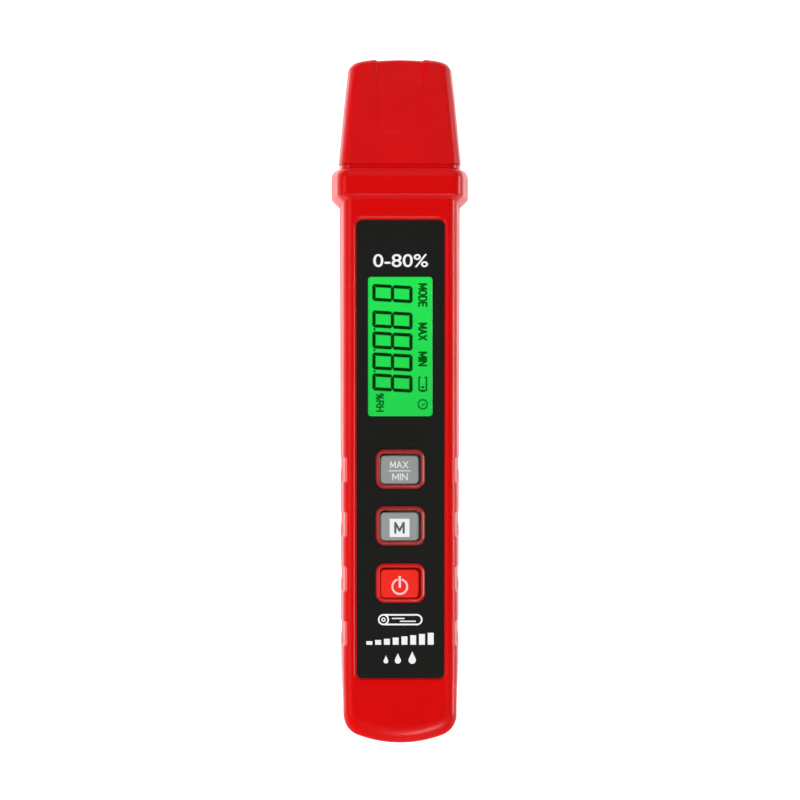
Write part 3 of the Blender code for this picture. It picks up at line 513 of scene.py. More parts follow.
def body_loop(inset, z, top_y=TOP_Y, notched=False, end=None, low_y=None):
    """The housing's outline, moved in by an inset, anticlockwise from the middle of its upper end.

    end is the inset of the curved lower end, where it isn't the same as the sides'. With low_y the lower
    end is straight instead.
    """
    end = inset if end is None else end
    if low_y is None:
        corner_inset = inset - draft_spare(CORNER_Y, z)
        turn_r = max(CORNER_R - corner_inset, 1.2)
        turn_x = CORNER_X + CORNER_R - corner_inset - turn_r
        turn_y = END_Y - math.sqrt((END_R - end - turn_r) ** 2 - turn_x**2)
        turn = math.degrees(math.atan2(turn_y - END_Y, turn_x))
        lower = arc(turn_x, turn_y, turn_r, 0, turn, 14) + arc(0, END_Y, END_R - end, turn, -90, 16)[1:]
    else:
        turn_x, turn_y = side_x(low_y) - inset + draft_spare(low_y, z) - FIELD_R, low_y + FIELD_R
        lower = arc(turn_x, turn_y, FIELD_R, 0, -90, 14)
        lower += [(turn_x * (1 - i / 16), low_y) for i in range(1, 17)]
    edge = side_x(top_y) - inset
    half = [((edge - TOP_R) * i / 8, top_y) for i in range(8)]
    half += arc(edge - TOP_R, top_y - TOP_R, TOP_R, 90, 0, 6)[:-1]
    for place in SIDE_YS:
        y = place
        if place > 0:
            y = place * (top_y - TOP_R) / (TOP_Y - TOP_R)
        if place < NOTCH_FREE_Y:
            y = NOTCH_FREE_Y + (place - NOTCH_FREE_Y) * (turn_y - NOTCH_FREE_Y) / (CORNER_Y - NOTCH_FREE_Y)
        half.append((side_x(y) - inset + draft_spare(y, z) - (notch_depth(y, z) if notched else 0), y))
    half += lower
    return at(z, half + [(-x, y) for x, y in reversed(half[1:-1])])


def end_inset(z):
    """How far the lower end is in at a height: a tight edge, a slope and a soft crest."""
    slope = math.radians(END_SLOPE)
    crest_in, crest_down = END_CREST_R * math.sin(slope), END_CREST_R * (1 - math.cos(slope))
    edge_in, edge_down = END_EDGE_R * (1 - math.sin(slope)), END_EDGE_R * math.cos(slope)
    slope_down = END_SLOPE_LENGTH * math.tan(slope)
    down = FACE_Z - z
    if down > crest_down + slope_down + edge_down:
        return 0.0
    if down > crest_down + slope_down:
        left = crest_down + slope_down + edge_down - down
        return END_EDGE_R - math.sqrt(END_EDGE_R**2 - left**2)
    if down > crest_down:
        return edge_in + END_SLOPE_LENGTH * (crest_down + slope_down - down) / slope_down
    whole = edge_in + END_SLOPE_LENGTH + crest_in
    return whole - math.sqrt(END_CREST_R**2 - (END_CREST_R - down) ** 2)


def shell_profile(side):
    """(inset, z) pairs of one shell, from inside its face, round the seam, up the wall to its face."""
    fillet, face = (FRONT_FILLET, FACE_Z) if side > 0 else (BACK_FILLET, BACK_Z)
    seam, top = SPLIT_Z + side * SEAM, face - side * fillet
    inner = [(WALL + 2.2, face - side * 2.0), (WALL + DRAFT, top), (WALL, seam)]
    edge = [(SEAM_ROUND * (1 - math.sin(t)), seam + side * SEAM_ROUND * (1 - math.cos(t)))
            for t in [math.radians(a) for a in (0, 22, 45, 67, 90)]]
    wall = [(DRAFT * i / 9, seam + (top - seam) * i / 9) for i in range(1, 9)]
    turns = [math.radians(90 * i / 15) for i in range(16)]
    corner = [(DRAFT + fillet * (1 - math.cos(t)), top + side * fillet * math.sin(t)) for t in turns]
    return inner, edge + wall + corner


def half_barrel(half_width, half_depth, lean, r, side, steps=10):
    """Half of a cross-section whose side leans in from the seam, with a round corner."""
    quarter = [(half_width - lean * i / 5, SEAM + (half_depth - r - SEAM) * i / 5) for i in range(5)]
    quarter += arc(half_width - lean - r, half_depth - r, r, 0, 90, steps)
    return [(x, side * z) for x, z in quarter + [(-x, z) for x, z in reversed(quarter)]]


def barrel(half_width, half_depth, lean, r, steps=10):
    upper = half_barrel(half_width, half_depth, lean, r, 1, steps)
    return upper + [(-x, -z) for x, z in upper]


def along_y(name, stations, warp=None):
    """A solid through cross-sections, a list of (y, section), each measured from the split plane."""
    loops = []
    for y, section in stations:
        loops.append([(x, warp(y, z) if warp else y, z + SPLIT_Z) for x, z in section])
    return solid(name, loops)


def collar_half(side):
    """Half of the collar, rounded above and chamfered below. Its lower edge dips towards the seam."""

    def warp(y, z):
        low = 1 - smooth((y - COLLAR_LOW_Y - 2.2) / 1.5)
        return y - low * COLLAR_DIP * (1 - min(1, abs(z) / COLLAR_HALF_DEPTH) ** 2)

    stations = []
    for i in range(11):
        t = math.radians(90 * i / 10)
        drop = 1 - math.sin(t)
        stations.append((COLLAR_TOP_Y - 2.5 * (1 - math.cos(t)), 2.0 * drop, 1.4 * drop))
    crest = COLLAR_LOW_Y + 2.2
    stations += [(crest + (COLLAR_TOP_Y - 2.5 - crest) * (1 - i / 3), 0, 0) for i in (1, 2)]
    chamfer = ((0.1, 0), (0, 0.02), (-0.12, 0.07), (-0.25, 0.16), (-0.4, 0.3), (-1.2, 1.1), (-2.4, 2.3),
               (-2.6, 2.6))
    for away, drop in chamfer:
        stations.append((crest + away, drop, drop))
    sections = []
    for y, in_x, in_z in stations:
        half = (COLLAR_HALF_WIDTH - in_x, COLLAR_HALF_DEPTH - in_z)
        sections.append((y, half_barrel(*half, COLLAR_LEAN, COLLAR_FILLET, side)))
    return along_y("collar", sections, warp)


def neck_half(side):
    def section(drop):
        return half_barrel(NECK_HALF_WIDTH - drop, NECK_HALF_DEPTH - drop, NECK_LEAN, 2.4, side)

    stations = ((COLLAR_TOP_Y - 3, section(0)), (NECK_TOP_Y - 0.3, section(0)), (NECK_TOP_Y, section(0.3)))
    return along_y("neck", stations)


def neck_bore():
    section = barrel(NECK_HALF_WIDTH - NECK_WALL, NECK_HALF_DEPTH - NECK_WALL, NECK_LEAN, 1.4, 5)
    return along_y("bore", ((TOP_Y - 6, section), (NECK_TOP_Y + 2, section)))


def shoulder():
    """The low step between the collar and the cap."""
    rows = ((COLLAR_TOP_Y - 1.5, 0.0), (CAP_BASE_Y - 0.14, 0.0), (CAP_BASE_Y - 0.04, 0.1))
    return along_y("shoulder", [(y, barrel(15.3 - drop, 10.8 - drop, CAP_LEAN, 2.4)) for y, drop in rows])


def make_front():
    """The front shell: one skin from its cavity, round the seam, to a faint rim and the panel's field."""
    inner, outer = shell_profile(1)
    loops = [body_loop(i, z, TOP_Y - WALL) for i, z in inner]
    loops += [body_loop(i, z, notched=True, end=end_inset(z)) for i, z in outer]
    for i in (0, 1, 2, 2.4, 3, 4, 5, 6, 7, 8, 9, 10):
        step = 0.05 + RIM_WIDTH * i / 10
        inset, spare = outer[-1][0] + step, RIM_WIDTH * (1 - i / 10)
        z = FACE_Z + (FIELD_Z - FACE_Z) * smooth(i / 10)
        if i > 2:
            loops.append(body_loop(inset, z, FIELD_TOP_Y + spare, low_y=FIELD_LOW_Y - spare / 2))
        else:
            loops.append(body_loop(inset, z, FIELD_TOP_Y + spare, end=end_inset(FACE_Z) + step))
    shell = solid("front_housing", loops)
    join(shell, collar_half(1), neck_half(1))
    cut(shell, neck_bore())
    cut(shell, prism("opening", window_outline(0.4, WINDOW_R + 0.2), *FACE_CUT))
    for name in KEYS:
        size = (RIM_SIZE[0] - 1.2, RIM_SIZE[1] - 1.2)
        hole = rounded_rect(*size, RIM_R - 0.6, 0, key_y(name) + RIM_SHIFT[1])
        cut(shell, prism("aperture", hole, *FACE_CUT))
    put(shell, "body_red", "housing", "front_shell", "front_shell", sharp=30)
    ring = cut(shoulder(), neck_bore())
    put(ring, "body_red", "housing", "front_shell", sharp=40)


def window_outline(grow, r=WINDOW_R):
    """The window's outline, with its sides made longer by grow."""
    return rounded_rect(WINDOW_SIZE[0] + grow, WINDOW_SIZE[1] + grow, r, 0, WINDOW_Y)


def key_y(name):
    """The middle of a key, from the frame."""
    low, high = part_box(f"{name}_key")
    return (low.y + high.y) / 2 / MM


# Back of the housing

BAY_HALF, BAY_Y, BAY_ROOF_Z, BAY_WALL = 11.0, (-73.6, -22.4), 13.2, 1.25
DOOR_HALF, DOOR_TOP_Y, DOOR_Z, DOOR_LEAN, GAP = 10.6, -20.9, 1.8, 0.7, 0.3
WAIST_Z, WAIST_LOW_Y, WAIST_SLOPE = 1.0, -9.0, 4.5
BOSS_R, WELL_R, SCREW_HOLE_R, HOOK_HALF = 2.7, 2.3, 1.3, 5.0
DISH_SIZE, DISH_R, RIBS, RIB_HALF = (13.0, 10.0), 3.5, 4, 4.2


def back_form(name):
    """The solid outer form of the rear half."""
    _, outer = shell_profile(-1)
    loops = [body_loop(WALL, SPLIT_Z - SEAM)] + [body_loop(i, z, notched=True) for i, z in outer]
    return solid(name, loops)


def door_bar(name, spare, z_top, top_y):
    half = DOOR_HALF + spare
    foot, wide = half - DOOR_LEAN / DOOR_Z, half + DOOR_LEAN * z_top / DOOR_Z
    section = [(-foot, -1.0), (foot, -1.0), (wide, z_top), (-wide, z_top)]
    return solid(name, [[(x, y, z) for x, z in section] for y in (-LENGTH / 2 - 2, top_y)])


def waist():
    """What is taken off the back above the battery bay, with a soft slope at its lower end."""
    slope = [(WAIST_LOW_Y - WAIST_SLOPE * i / 12, WAIST_Z * (1 - smooth(i / 12))) for i in range(13)]
    outline = [(LENGTH / 2, WAIST_Z), *slope, (WAIST_LOW_Y - WAIST_SLOPE - 0.1, -1), (LENGTH / 2, -1)]
    return solid("waist", [[(x, y, z) for y, z in outline] for x in (-25, 25)])


def screw_places():
    """(x, y, lowest z) of the case screws, from the frame."""
    for i in range(1, 5):
        low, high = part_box(f"case_screw_{i}")
        yield (low.x + high.x) / 2 / MM, (low.y + high.y) / 2 / MM, low.z / MM


def make_back():
    """The rear shell with its battery bay, door channel and screw wells."""
    inner, outer = shell_profile(-1)
    loops = [body_loop(i, z, TOP_Y - WALL) for i, z in inner]
    loops += [body_loop(i, z, notched=True) for i, z in outer]
    shell = solid("rear_housing", loops)
    cut(shell, waist())
    join(shell, collar_half(-1), neck_half(-1))
    cut(shell, neck_bore())
    outside = BAY_HALF + BAY_WALL
    ends = (BAY_Y[0] - BAY_WALL, BAY_Y[1] + BAY_WALL)
    join(shell, slab("bay", (-outside, outside), ends, (1.2, BAY_ROOF_Z + 1.2)))
    for x, y, low in screw_places():
        join(shell, upright("boss", x, y, BOSS_R, low + 0.2, SPLIT_Z - 1.4))
    cut(shell, slab("room", (-BAY_HALF, BAY_HALF), BAY_Y, (-2, BAY_ROOF_Z)))
    cut(shell, door_bar("channel", GAP, DOOR_Z + GAP, DOOR_TOP_Y + GAP))
    pocket = HOOK_HALF + 0.4
    depth = (0.8, DOOR_Z + GAP + 0.05)
    cut(shell, slab("pocket", (-pocket, pocket), (DOOR_TOP_Y - 1, DOOR_TOP_Y + 1.9), depth))
    for x, y, low in screw_places():
        cut(shell, upright("well", x, y, WELL_R, -1, low + 1.3))
        cut(shell, upright("hole", x, y, SCREW_HOLE_R, 0, 14))
    put(shell, "body_red", "housing", "rear_shell", "rear_shell", sharp=30)


def make_door():
    """The battery door, with a ribbed thumb dish."""
    door = combine(back_form("battery_cover"), door_bar("bar", 0, DOOR_Z, DOOR_TOP_Y), "INTERSECT")
    hook_y = (DOOR_TOP_Y - 0.5, DOOR_TOP_Y + 1.3)
    join(door, slab("hook", (-HOOK_HALF, HOOK_HALF), hook_y, (1.15, DOOR_Z - 0.05)))
    dish_y = DOOR_TOP_Y - 9
    width, height = DISH_SIZE
    dish = [at(z, rounded_rect(width - 1.6 * s, height - 1.6 * s, DISH_R - 0.7 * s, 0, dish_y))
            for s, z in ((-0.4, -0.5), (0, 0), (0.3, 0.35), (0.7, 0.7), (1.3, 0.9))]
    cut(door, solid("dish", dish))
    for i in range(RIBS):
        y = dish_y - 3 + 2 * i
        rib = [(y - 0.5, 1.1)] + [(v, 1.0 - z) for v, z in arc(y, 0.25, 0.45, 180, 0, 8)] + [(y + 0.5, 1.1)]
        join(door, solid("rib", [[(x, v, z) for v, z in rib] for x in (-RIB_HALF, RIB_HALF)]))
    put(door, "body_red", "door", "battery_door", "battery_door", sharp=30)


# Cap


def cap_half_size(y):
    share = (y - CAP_BASE_Y) / (LENGTH / 2 - CAP_BASE_Y)
    return [a + (b - a) * share for a, b in zip(CAP_BASE_HALF, CAP_TIP_HALF)]


def channel_mask(x, y):
    """1 inside the thumb channel and 0 outside, with a soft edge."""
    centre = CHANNEL_LOW_Y + CHANNEL_HALF_LENGTH
    qx = abs(x) - CHANNEL_HALF - 0.014 * (y - CHANNEL_LOW_Y) + CHANNEL_R
    qy = abs(y - centre) - CHANNEL_HALF_LENGTH + CHANNEL_R
    outside = math.hypot(max(qx, 0), max(qy, 0)) + min(max(qx, qy), 0) - CHANNEL_R
    return smooth(0.5 - outside / CHANNEL_EDGE)


def cap_section(y, inset, corner, flat_xs):
    """A cap cross-section as (x, z): its front edge from +X to -X, left side, back edge and right side."""
    width, depth = cap_half_size(y)
    w, d = width - inset, depth - inset
    flat = w - CAP_LEAN - corner
    turn = arc(flat, d - corner, corner, 0, 90, 12)
    side = [(w - CAP_LEAN * i / 7, (d - corner) * i / 7) for i in range(7)]
    front = turn[6:] + [(x * flat, d) for x in flat_xs]
    front = front + [(-x, z) for x, z in reversed(front[:-1])]
    flank = side + turn[:6]
    left = [(-x, z) for x, z in reversed(flank)] + [(-x, -z) for x, z in flank[1:]]
    back = [(-x, -z) for x, z in front]
    right = [(-x, -z) for x, z in left]
    return front, left, back, right


def make_cap():
    """The cap: a tapering cup with a soft tip, and a thumb channel over the tip from face to back."""
    steps = [0.95, 0.85, 0.75, 0.66, 0.6] + [0.575 - 0.0125 * i for i in range(12)]
    flat_xs = steps + [0.38, 0.25, 0.12, 0.0]
    tip_start = CAP_TIP_Y - CAP_TIP_ROUND
    outer = []
    for i in range(8):
        t = math.radians(90 * i / 7)
        y = CAP_BASE_Y + CAP_BASE_ROUND * (1 - math.cos(t))
        outer.append((y, CAP_BASE_ROUND * (1 - math.sin(t)), 0.0))
    ys = [CAP_BASE_Y + 1.5 + 1.9 * i for i in range(4)]
    ys += [CHANNEL_LOW_Y - 0.5 + 0.13 * i for i in range(24)]
    ys += [CHANNEL_LOW_Y + 3.2 + 1.0 * i for i in range(13)]
    outer += [(y, 0.0, 0.0) for y in ys if y < tip_start - 0.2]
    for i in range(15):
        t = math.radians(90 * i / 14)
        outer.append((tip_start + CAP_TIP_ROUND * math.sin(t), CAP_TIP_ROUND * (1 - math.cos(t)), t))

    def place(x, y, z, t):
        """A point of the cap, sunk by the channel along a normal that turns by t towards the tip."""
        bow = smooth((y - CAP_BOW_Y) / (CAP_TIP_Y - CAP_BOW_Y))
        sink = CHANNEL_DEPTH * channel_mask(x, y) * (0.35 + 0.65 * smooth((y - CHANNEL_DEEP_Y) / 5))
        side = 1 if z > 0 else -1
        z -= side * sink * math.cos(t)
        y -= sink * math.sin(t) + CAP_BOW * x * x * bow
        return x, y, z + SPLIT_Z

    loops = []
    top_y = LENGTH / 2 - CAP_WALL - 0.4
    inside = ((top_y, CAP_WALL + 1.0), (top_y - 1, CAP_WALL), (CAP_BASE_Y + 0.3, CAP_WALL),
              (CAP_BASE_Y, CAP_WALL - 0.2))
    for y, inset in inside:
        section = cap_section(y, inset, 1.3, flat_xs)
        loops.append([(x, y, z + SPLIT_Z) for part in section for x, z in part[:-1]])
    for y, inset, t in outer:
        section = cap_section(min(y, tip_start), inset, CAP_FILLET, flat_xs)
        loops.append([place(x, y, z, t) for part in section for x, z in part[:-1]])
    cap = solid("cap_shell", loops, open_end=True)
    fill_tip(cap, cap_section(tip_start, CAP_TIP_ROUND, CAP_FILLET, flat_xs), place)
    put(cap, "cap_red", "cap", "cap", "probe_cap", sharp=40)


def fill_tip(cap, section, place):
    """Closes the cap's tip with a grid between its front and back edges, for the channel to cross."""
    front, left, back, right = section
    across, down = len(front), len(left)
    bm = bmesh.new()
    bm.from_mesh(cap.data)
    bm.verts.ensure_lookup_table()
    count = 2 * (across - 1) + 2 * (down - 1)
    rim = bm.verts[len(bm.verts) - count:]
    grid = [[None] * down for _ in range(across)]
    for i in range(across):
        grid[i][0] = rim[i]
        grid[across - 1 - i][down - 1] = rim[across - 1 + down - 1 + i]
    for j in range(down):
        grid[across - 1][j] = rim[across - 1 + j]
        grid[0][down - 1 - j] = rim[(2 * (across - 1) + down - 1 + j) % count]
    for i in range(1, across - 1):
        for j in range(1, down - 1):
            u, v = i / (across - 1), j / (down - 1)
            x = (1 - v) * front[i][0] + v * back[across - 1 - i][0]
            z = (1 - u) * right[down - 1 - j][1] + u * left[j][1]
            grid[i][j] = bm.verts.new(place(x, CAP_TIP_Y, z, math.pi / 2))
    for i in range(across - 1):
        for j in range(down - 1):
            bm.faces.new((grid[i][j], grid[i + 1][j], grid[i + 1][j + 1], grid[i][j + 1]))
    bmesh.ops.recalc_face_normals(bm, faces=bm.faces)
    bm.to_mesh(cap.data)
    bm.free()


# Face


def rim_outline(name, inset):
    """The outline of a key's rim, moved in by an inset."""
    size = (RIM_SIZE[0] - 2 * inset, RIM_SIZE[1] - 2 * inset)
    return rounded_rect(*size, RIM_R - inset, RIM_SHIFT[0], key_y(name) + RIM_SHIFT[1])


def make_panel():
    """The printed panel, a thin plate with openings for the window and the key rims."""
    outline = rounded_rect(*PANEL_SIZE, PANEL_R, 0, PANEL_Y)
    outline = [(x * (1 + PANEL_TAPER * (y - PANEL_Y)) + PANEL_SHIFT, y) for x, y in outline]
    panel = prism("panel_film", outline, FIELD_Z + 0.02, PANEL_TOP_Z)
    cut(panel, prism("opening", window_outline(0.06), *FACE_CUT))
    for name in KEYS:
        cut(panel, prism("hole", rim_outline(name, -0.06), *FACE_CUT))
    bevel(panel, 0.07)
    put(panel, "panel_black", "housing", "face_panel", "face_panel", sharp=30)


def make_window():
    """The clear pane, and the black frame behind the panel that it is glued to."""
    steps = ((0, PANEL_TOP_Z - 0.95), (0, PANEL_TOP_Z - 0.12), (-0.12, PANEL_TOP_Z - 0.03))
    pane = solid("window_pane", [at(z, window_outline(grow)) for grow, z in steps])
    put(pane, "clear_window", "housing", "window", "display_window", sharp=50)
    outer, inner = window_outline(0.3, WINDOW_R + 0.15), window_outline(-0.02)
    low, high = GLASS_Z - 1.2, PANEL_TOP_Z - 1.0
    loops = [at(low, outer), at(high, outer), at(high, inner), at(low, inner)]
    seat = solid("window_seat", loops, ring=True)
    put(seat, "black_plastic", "housing", "black_plastic", sharp=30)


def make_key_rims():
    """The raised frames round the keys, which slope outwards from a rounded crest."""
    section = [(0.0, FIELD_Z - 0.5)]
    section += [(e, PANEL_TOP_Z + up) for e, up in ((0.0, 0.02), (0.06, 0.2), (0.16, 0.38))]
    crest = ((0.3, 0.3), (0.48, 0.14), (0.66, 0.04), (0.8, 0), (0.92, 0.04), (1.01, 0.18), (1.06, 0.4),
             (1.08, 0.9))
    section += [(e, RIM_TOP_Z - down) for e, down in crest]
    section += [(1.1, 22.3), (0.4, 22.3)]
    for name in KEYS:
        rim = solid(f"{name}_rim", [at(z, rim_outline(name, inset)) for inset, z in section], ring=True)
        # The rims' colours are the shell red with painted shade and a painted sheen
        put(rim, "power_rim_shade_and_sheen_red" if name == "power" else "rim_shade_and_sheen_red", "housing", "front_shell", sharp=50)


def make_keys():
    """Each key: a block with a soft, slightly raised top, on a flange behind the face."""
    width, height = KEY_SIZE
    for name in KEYS:
        steps = [(0.75, 20.9, 1.6), (0.75, 21.6, 1.6), (0, 21.6, KEY_R), (0, KEY_TOP_Z - 0.55, KEY_R)]
        for i in range(1, 8):
            t = math.radians(90 * i / 7)
            back = 1 - math.cos(t)
            steps.append((-0.5 * back, KEY_TOP_Z - 0.55 + 0.4 * math.sin(t), KEY_R - 0.25 * back))
        steps += [(-1.2, KEY_TOP_Z - 0.08, 0.7), (-2.2, KEY_TOP_Z - 0.02, 0.5), (-3.0, KEY_TOP_Z, 0.3)]
        cx, cy = KEY_SHIFT[0], key_y(name) + KEY_SHIFT[1]
        loops = [at(z, rounded_rect(width + 2 * grow, height + 2 * grow, r, cx, cy)) for grow, z, r in steps]
        key = solid(f"{name}_keycap", loops)
        material, slot = ("key_red", "red_key") if name == "power" else ("key_grey", "grey_key")
        put(key, material, f"{name}_button", slot, f"{name}_key", sharp=50)


# Printed marks and display segments


def oval(cx, cy, rx, ry, step):
    turns = [math.radians(a) for a in range(0, 361, step)]
    return [(cx + rx * math.cos(t), cy + ry * math.sin(t)) for t in turns]


LETTER_GAP = 0.34  # a share of a capital's width
# Each capital's width and its pen lines, in a box of 1 x 1
GLYPHS = {
    "M": (1.0, [[(0, 0), (0, 1), (0.5, 0.2), (1, 1), (1, 0)]]),
    "O": (0.95, [oval(0.5, 0.5, 0.5, 0.5, 24)]),
    "D": (0.9, [[(0, 0), (0, 1), (0.5, 1), (0.85, 0.85), (1, 0.5), (0.85, 0.15), (0.5, 0), (0, 0)]]),
    "E": (0.78, [[(1, 1), (0, 1), (0, 0), (1, 0)], [(0, 0.52), (0.85, 0.52)]]),
    "A": (1.0, [[(0, 0), (0.5, 1), (1, 0)], [(0.2, 0.34), (0.8, 0.34)]]),
    "X": (0.95, [[(0, 0), (1, 1)], [(0, 1), (1, 0)]]),
    "I": (0.0, [[(0, 0), (0, 1)]]),
    "N": (0.85, [[(0, 0), (0, 1), (1, 0), (1, 1)]]),
    "R": (0.82, [[(0, 0), (0, 1), (0.65, 1), (0.95, 0.87), (0.95, 0.63), (0.65, 0.5), (0, 0.5)],
                 [(0.55, 0.5), (1, 0)]]),
    "H": (0.82, [[(0, 0), (0, 1)], [(1, 0), (1, 1)], [(0, 0.5), (1, 0.5)]]),
    "%": (1.1, [[(0.18, 0), (0.82, 1)], oval(0.2, 0.77, 0.19, 0.23, 45), oval(0.8, 0.23, 0.19, 0.23, 45)]),
}


def stroke(points, thick):
    """Outlines of a pen line through points, one capsule for each stretch."""
    made = []
    for (x0, y0), (x1, y1) in zip(points, points[1:]):
        turn = math.degrees(math.atan2(y1 - y0, x1 - x0))
        ahead = arc(x1, y1, thick / 2, turn - 90, turn + 90, 6)
        made.append(ahead + arc(x0, y0, thick / 2, turn + 90, turn + 270, 6))
    return made


def lettering(text, centre, width, height, thick, down=False):
    """Outlines of plain capitals fitted to a width and a height. down turns them to read towards -Y."""
    total = sum(GLYPHS[c][0] for c in text) + LETTER_GAP * (len(text) - 1)
    scale, rise = (width - thick) / total, height - thick
    outlines, start = [], -(width - thick) / 2
    for c in text:
        wide, lines = GLYPHS[c]
        for line in lines:
            points = [(start + x * wide * scale, (y - 0.5) * rise) for x, y in line]
            if down:
                points = [(y, -x) for x, y in points]
            outlines += stroke([(centre[0] + x, centre[1] + y) for x, y in points], thick)
        start += (wide + LETTER_GAP) * scale
    return outlines


def ink(name, outlines, z, material, body, slot):
    """A thin flat mark, a closed plate over the union of its outlines."""
    points, faces = [], []
    for outline in outlines:
        faces.append(list(range(len(points), len(points) + len(outline))))
        points += [Vector(p) for p in outline]
    points, _, faces, _, _, sources = delaunay_2d_cdt(points, [], faces, 1, 1e-5)
    faces = [face for face, source in zip(faces, sources) if source]
    bm = bmesh.new()
    low, high = [[bm.verts.new((p.x, p.y, level)) for p in points] for level in (z, z + PRINT)]
    edges = {(f[i - 1], f[i]) for f in faces for i in range(len(f))}
    for face in faces:
        bm.faces.new([high[i] for i in face])
        bm.faces.new([low[i] for i in reversed(face)])
    for i, j in edges:
        if (j, i) not in edges:
            bm.faces.new((low[i], low[j], high[j], high[i]))
    bmesh.ops.delete(bm, geom=[v for v in bm.verts if not v.link_faces], context="VERTS")
    put(stand_bmesh(name, bm), material, body, slot, sharp=20)


def bold_text(name, text, centre, width, height, z, material, body, slot):
    """Round bold figures, for the range legend."""
    curve = bpy.data.curves.new(name, "FONT")
    curve.body = text
    curve.size = 10
    curve.offset = 0.1
    curve.resolution_u = 4
    drawn = stand(name, curve)
    graph = bpy.context.evaluated_depsgraph_get()
    mesh = bpy.data.meshes.new_from_object(drawn.evaluated_get(graph))
    bpy.data.objects.remove(drawn)
    xs, ys = [v.co.x for v in mesh.vertices], [v.co.y for v in mesh.vertices]
    grow = Matrix.Diagonal((width / (max(xs) - min(xs)), height / (max(ys) - min(ys)), 1, 1))
    move = Matrix.Translation((-(max(xs) + min(xs)) / 2, -(max(ys) + min(ys)) / 2, 0))
    mesh.transform(Matrix.Translation((*centre, z)) @ grow @ move)
    obj = stand(name, mesh)
    thick = obj.modifiers.new("thick", "SOLIDIFY")
    thick.thickness = PRINT
    thick.offset = 1
    settle(obj)
    put(obj, material, body, slot, sharp=20)


def circle(cx, cy, r, steps=32):
    return arc(cx, cy, r, 0, 360, steps)


def drop(cx, cy, height):
    """A water drop, standing on its round end."""
    r = height * 0.3
    base = cy - height / 2 + r
    return arc(cx, base, r, 150, 390, 24) + [(cx, cy + height / 2)]


SEGMENT, SEGMENT_GAP, SEGMENT_CUT = 0.82, 0.03, 0.42
DIGIT_WIDTH, DIGIT_HEIGHT, DIGIT_SLANT = 4.3, 10.1, 0.6


def digit_segments(low_x, top_y):
    """The seven segments of a digit that reads towards -Y, with its top towards +X."""
    t, w, h, g, c = SEGMENT, DIGIT_WIDTH, DIGIT_HEIGHT, SEGMENT_GAP, SEGMENT_CUT
    half = t / 2
    foot = [(c + g, 0), (w - c - g, 0), (w - c / 2 - g, c / 2), (w - t - g, t), (t + g, t),
            (c / 2 + g, c / 2)]
    waist_y = h / 2 - half - g
    post = [(0, c + g), (c / 2, c / 2 + g), (t, t + g), (t, waist_y), (half, h / 2 - g), (0, waist_y)]
    middle = [(half + g, h / 2), (t + g, h / 2 - half), (w - t - g, h / 2 - half), (w - half - g, h / 2),
              (w - t - g, h / 2 + half), (t + g, h / 2 + half)]
    shapes = [middle, foot, [(u, h - v) for u, v in foot]]
    for flip_u in (False, True):
        for flip_v in (False, True):
            shapes.append([(w - u if flip_u else u, h - v if flip_v else v) for u, v in post])
    return [[(low_x + v, top_y - u - DIGIT_SLANT * v / h) for u, v in shape] for shape in shapes]


def make_display():
    """The lit cell, its segments and its small marks."""
    cell = prism("display_cell", window_outline(0.2), GLASS_Z - 1.3, GLASS_Z)
    put(cell, "lit_display", "housing", "display", "display_glass", sharp=30)
    low_x, first_y = -7.0, 29.4
    tops = [first_y] + [first_y - 6.66 - 5.27 * i for i in range(4)]
    shapes = []
    for y in tops:
        shapes += digit_segments(low_x, y)
    for y in tops[2:]:
        shapes.append(circle(low_x + 0.52, y + 0.52, 0.27, 12))
    ink("display_digits", shapes, GLASS_Z, "segment_dark", "housing", "display")
    x, z, low = 5.66, GLASS_Z, WINDOW_Y - WINDOW_SIZE[1] / 2
    words = []
    for word, up, width in (("MODE", 30.35, 6.0), ("MAX", 21.2, 4.5), ("MIN", 14.35, 3.7)):
        words += lettering(word, (x, low + up), width, 2.3, 0.42, down=True)
    words += lettering("%RH", (-5.1, low + 3.4), 4.7, 2.05, 0.34, down=True)
    ink("display_words", words, z, "segment_mid", "housing", "display")
    y = low + 8.1
    bars = ((-1.1, -0.75, -1.5, 1.5), (0.75, 1.1, -1.5, 1.5), (-1.1, -0.45, 1.5, 1.8), (0.45, 1.1, 1.5, 1.8),
            (-1.1, 1.1, -1.8, -1.5), (-0.6, 0.6, -2.05, -1.8), (-0.35, 0.35, -1.1, -0.6))
    battery = [bar(x + left, x + right, y + bottom, y + top) for left, right, bottom, top in bars]
    ink("battery_symbol", battery, z, "segment_mid", "housing", "display")
    y = low + 2.95
    clock = stroke(circle(x, y, 1.15), 0.36)
    clock += stroke([(x + 0.55, y + 0.05), (x, y), (x - 0.1, y - 0.5)], 0.26)
    ink("clock_symbol", clock, z, "segment_pale", "housing", "display")


